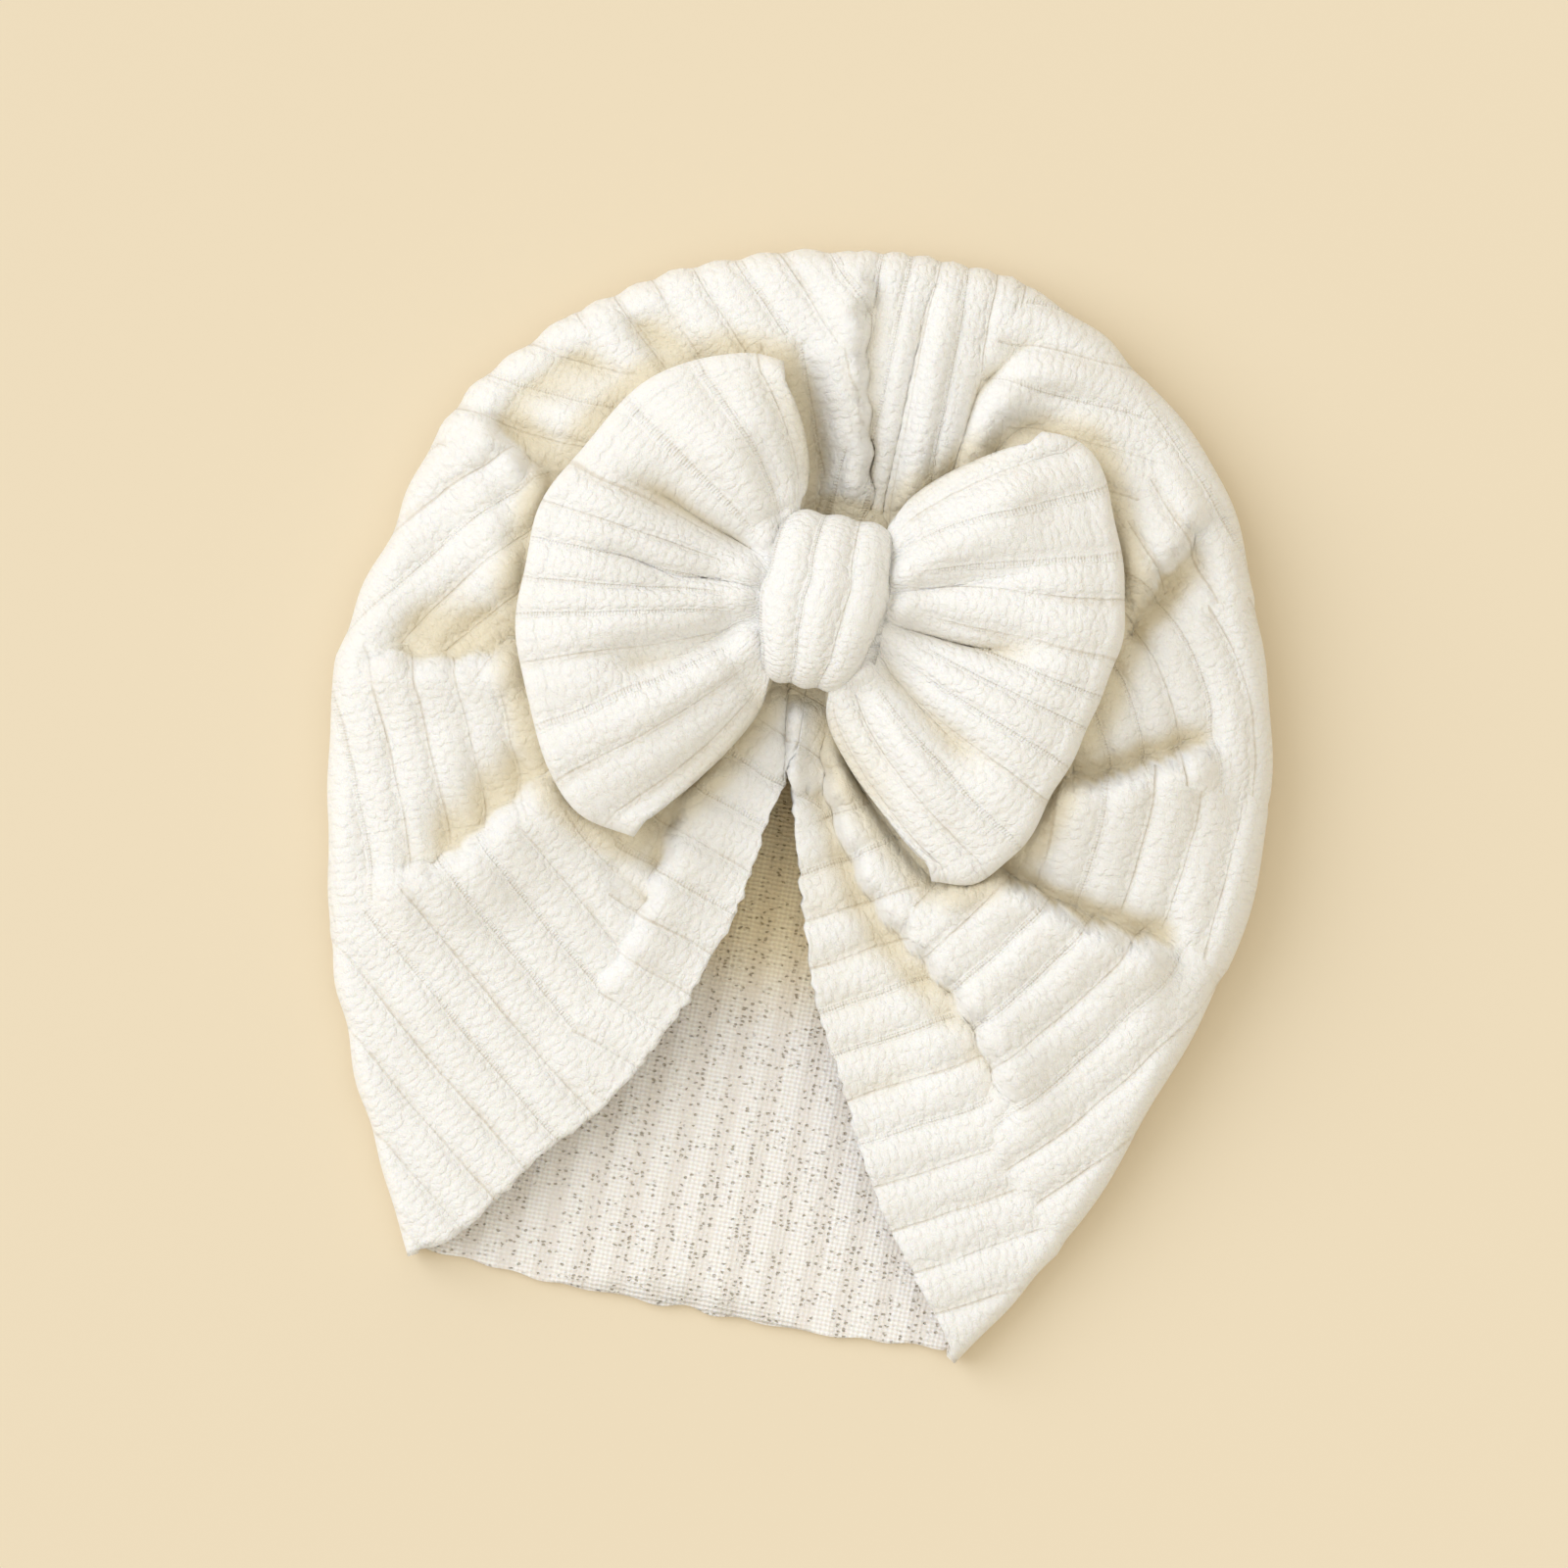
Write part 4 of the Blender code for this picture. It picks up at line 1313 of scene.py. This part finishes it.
    @staticmethod
    def eyelets(board: NodeBoard, where: object, band: object) -> bpy.types.NodeSocket:
        """Small scattered holes, closest together beside each groove.

        Args:
            board: the group's board.
            where: the object's coordinates.
            band: distance from the nearest groove, in ribs.

        Returns:
            The holes' mask.
        """
        wobble = board.add("ShaderNodeTexNoise")
        wobble.inputs["Scale"].default_value = 900.0
        board.feed(wobble.inputs["Vector"], where)
        shift = board.add("ShaderNodeVectorMath", operation="MULTIPLY_ADD")
        board.feed(shift.inputs[0], wobble.outputs["Color"])
        shift.inputs[1].default_value = (0.0009, 0.0009, 0.0009)
        board.feed(shift.inputs[2], where)
        squeeze = board.add("ShaderNodeVectorMath", operation="MULTIPLY")
        board.feed(squeeze.inputs[0], shift.outputs["Vector"])
        squeeze.inputs[1].default_value = (0.75, 1.35, 1.0)
        cells = board.add("ShaderNodeTexVoronoi", voronoi_dimensions="2D", feature="F1")
        cells.inputs["Scale"].default_value = 1000.0
        cells.inputs["Randomness"].default_value = 0.9
        board.feed(cells.inputs["Vector"], squeeze.outputs["Vector"])
        pick = board.add("ShaderNodeSeparateColor")
        board.feed(pick.inputs[0], cells.outputs["Color"])
        column = board.smooth(board.beyond(band, 0.12), 0.0, 0.14, 1.0, 0.0)
        chosen = board.smooth(board.plus(pick.outputs[0], board.times(column, 0.34)), 0.66, 1.0)
        return board.times(board.smooth(cells.outputs["Distance"], 0.08, 0.34, 1.0, 0.0), chosen)


@dataclass(frozen=True)
class KnitFinish:
    """The look of one face of the knit.

    Args:
        name: the material's name.
        colour: the yarn in the open.
        deep: the painted fold shade, how much of each colour is left in a deep fold.
        relief: the height of the bump, in millimetres.
        sheen: how strongly the nap catches light.
        masks: for each mask of the knit face, its name, its strength and the colour that it brings.
    """

    name: str
    colour: tuple
    deep: tuple
    relief: float
    sheen: float
    masks: tuple

    def start(self) -> tuple[bpy.types.Material, NodeBoard, bpy.types.Node]:
        """A material with a matt shader.

        Returns:
            The material, its board and its shader.
        """
        material = bpy.data.materials.new(self.name)
        material.use_nodes = True
        shader = material.node_tree.nodes["Principled BSDF"]
        shader.inputs["Roughness"].default_value = 0.95
        shader.inputs["Specular IOR Level"].default_value = 0.15
        shader.inputs["Sheen Weight"].default_value = self.sheen
        shader.inputs["Sheen Roughness"].default_value = 0.6
        shader.inputs["Subsurface Weight"].default_value = 0.18
        shader.inputs["Subsurface Radius"].default_value = (1.0, 0.8, 0.55)
        shader.inputs["Subsurface Scale"].default_value = 0.7 * MM
        return material, NodeBoard(material.node_tree), shader

    def dress(self, group: bpy.types.NodeTree) -> bpy.types.Material:
        """The finished material.

        Args:
            group: the knit face's node group.

        Returns:
            The material.
        """
        material, board, shader = self.start()
        ribs = board.add("ShaderNodeUVMap", uv_map="ribs")
        place = board.add("ShaderNodeTexCoord")
        knit = board.add("ShaderNodeGroup", node_tree=group)
        board.feed(knit.inputs["Ribs"], ribs.outputs["UV"])
        board.feed(knit.inputs["Place"], place.outputs["Object"])
        plain = board.add("ShaderNodeAttribute", attribute_name="plain")
        board.feed(knit.inputs["Plain"], plain.outputs["Fac"])
        depth = board.add("ShaderNodeAttribute", attribute_name="painted_shade_amount")
        colour = (*self.colour, 1)
        for name, strength, tone in self.masks:
            share = board.times(knit.outputs[name], strength)
            colour = board.blend(board.smooth(share, 0.0, 1.0), colour, (*tone, 1))
        # Painted shade: the colour is multiplied toward deep by the vertex attribute's share.
        folded = board.smooth(depth.outputs["Fac"], 0.05, 1.0)
        colour = board.blend(folded, colour, (*self.deep, 1), "MULTIPLY")
        bump = board.add("ShaderNodeBump")
        bump.inputs["Strength"].default_value = 1.0
        bump.inputs["Distance"].default_value = self.relief * MM
        board.feed(bump.inputs["Height"], knit.outputs["Height"])
        board.feed(shader.inputs["Normal"], bump.outputs["Normal"])
        board.feed(shader.inputs["Base Color"], colour)
        return material


RIGHT_SIDE = KnitFinish(
    name="brushed_rib_knit",
    colour=(0.972, 0.958, 0.922),
    # Painted fold shade, in folds and beside the bow.
    deep=(0.85, 0.78, 0.62),
    relief=0.5,
    sheen=0.15,
    masks=(
        # Painted shade in the grooves and between the tufts.
        ("GrooveShade", 0.8, (0.78, 0.725, 0.63)),
        ("Mottle", 0.26, (0.87, 0.845, 0.80)),
        # Painted highlight on the ladder threads.
        ("ThreadHighlight", 0.55, (0.975, 0.965, 0.935)),
    ),
)
WRONG_SIDE = KnitFinish(
    name="knit_wrong_side",
    colour=(0.82, 0.77, 0.71),
    # Painted shade on the back panel, darkest toward the slit's point.
    deep=(0.97, 0.86, 0.60),
    relief=0.45,
    sheen=0.05,
    masks=(
        ("Stripe", 0.9, (1.0, 0.985, 0.955)),
        # The eyelets show the floor's colour, darkened with painted shade.
        ("Eyelet", 0.75, (0.50, 0.43, 0.31)),
    ),
)


class Studio:
    """The pale floor, the soft light and the camera."""

    FRAME_WIDTH = 299.4
    MIDDLE = (-1.7, -0.3)
    TURN = math.radians(11.03)
    DISTANCE = 1250.0
    HAT_MIDDLE = 12.0
    FLOOR_DROP = 0.2
    FLOOR = (0.797, 0.687, 0.508)
    ROOM = (1.0, 0.925, 0.76)
    ROOM_STRENGTH = 0.69
    DAYLIGHT = (0.806, 0.87, 1.0)

    def floor(self) -> None:
        """A wide floor just under the hat."""
        bm = bmesh.new()
        bmesh.ops.create_grid(bm, x_segments=2, y_segments=2, size=1.5)
        bmesh.ops.translate(bm, verts=bm.verts, vec=(0, 0, -self.FLOOR_DROP * MM))
        mesh = bpy.data.meshes.new("floor")
        bm.to_mesh(mesh)
        bm.free()
        floor = bpy.data.objects.new("floor", mesh)
        bpy.context.scene.collection.objects.link(floor)
        material = bpy.data.materials.new("warm_paper")
        material.use_nodes = True
        shader = material.node_tree.nodes["Principled BSDF"]
        shader.inputs["Base Color"].default_value = (*self.FLOOR, 1)
        shader.inputs["Roughness"].default_value = 0.9
        shader.inputs["Specular IOR Level"].default_value = 0.1
        mesh.materials.append(material)

    def sun(self, name: str, toward: Vector, spread: float, strength: float) -> None:
        """Even light from one side, as soft as its spread in degrees.

        Args:
            name: the lamp's name.
            toward: the direction that it comes from.
            spread: its width in degrees.
            strength: its power.
        """
        data = bpy.data.lights.new(name, "SUN")
        data.angle = math.radians(spread)
        data.energy = strength
        data.color = self.DAYLIGHT
        lamp = bpy.data.objects.new(name, data)
        lamp.location = toward
        lamp.rotation_euler = toward.to_track_quat("Z", "Y").to_euler()
        bpy.context.scene.collection.objects.link(lamp)

    def light(self) -> None:
        """A bright room with a window's soft light from the photo's left."""
        world = bpy.data.worlds.new("bright_room")
        world.use_nodes = True
        background = world.node_tree.nodes["Background"]
        background.inputs["Color"].default_value = (*self.ROOM, 1)
        background.inputs["Strength"].default_value = self.ROOM_STRENGTH
        bpy.context.scene.world = world
        left = Matrix.Rotation(self.TURN, 3, "Z") @ Vector((-1, 0.45, 0))
        self.sun("window", left + Vector((0, 0, 0.9)), 54, 1.61)
        self.sun("overhead", Vector((0.05, 0.1, 1.0)), 60, 0.49)

    def camera(self) -> None:
        """Straight above the hat, turned as the photo is."""
        data = bpy.data.cameras.new("camera")
        data.lens = 36.0 * (self.DISTANCE - self.HAT_MIDDLE) / self.FRAME_WIDTH
        data.sensor_width = 36.0
        data.clip_start = 0.05
        camera = bpy.data.objects.new("camera", data)
        camera.location = (self.MIDDLE[0] * MM, self.MIDDLE[1] * MM, self.DISTANCE * MM)
        camera.rotation_euler = (0, 0, self.TURN)
        bpy.context.scene.collection.objects.link(camera)
        bpy.context.scene.camera = camera

    def build(self) -> None:
        """Sets up the whole studio."""
        self.floor()
        self.light()
        self.camera()
        bpy.context.scene.view_settings.view_transform = "Standard"


def settle(piece: bpy.types.Object, node: str) -> None:
    """Puts a finished piece in the frame in its node's place and reports it.

    Args:
        piece: the finished object.
        node: the solid that it stands for.
    """
    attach(piece, "root")
    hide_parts(node)
    faces = sum(len(face.vertices) - 2 for face in piece.data.polygons)
    log.info("%s: %d triangles before its wall", piece.name, faces)


def main() -> None:
    """Builds the studio, then the hat's pieces in order."""
    logging.basicConfig(level=logging.INFO, format="%(message)s")
    Studio().build()
    knit = KnitGroup()
    outer = RIGHT_SIDE.dress(knit.outer())
    inner = WRONG_SIDE.dress(knit.inner())
    cap = Cap("cap_cloth", columns=320, rows=136, wall=CAP_WALL).build([outer, inner])
    settle(cap, "cap")
    bow_rows = 2 * (2 * Bow.wing_rows + Bow.tip_rows + Bow.waist_rows)
    bow = Bow("bow_cloth", columns=84, rows=bow_rows, wall=BOW_WALL).build([outer])
    settle(bow, "bow")
    band = KnotBand("knot_band_cloth", columns=28, rows=120, wall=BAND_WALL).build([outer])
    settle(band, "knot_band")


if __name__ == "__main__":
    main()
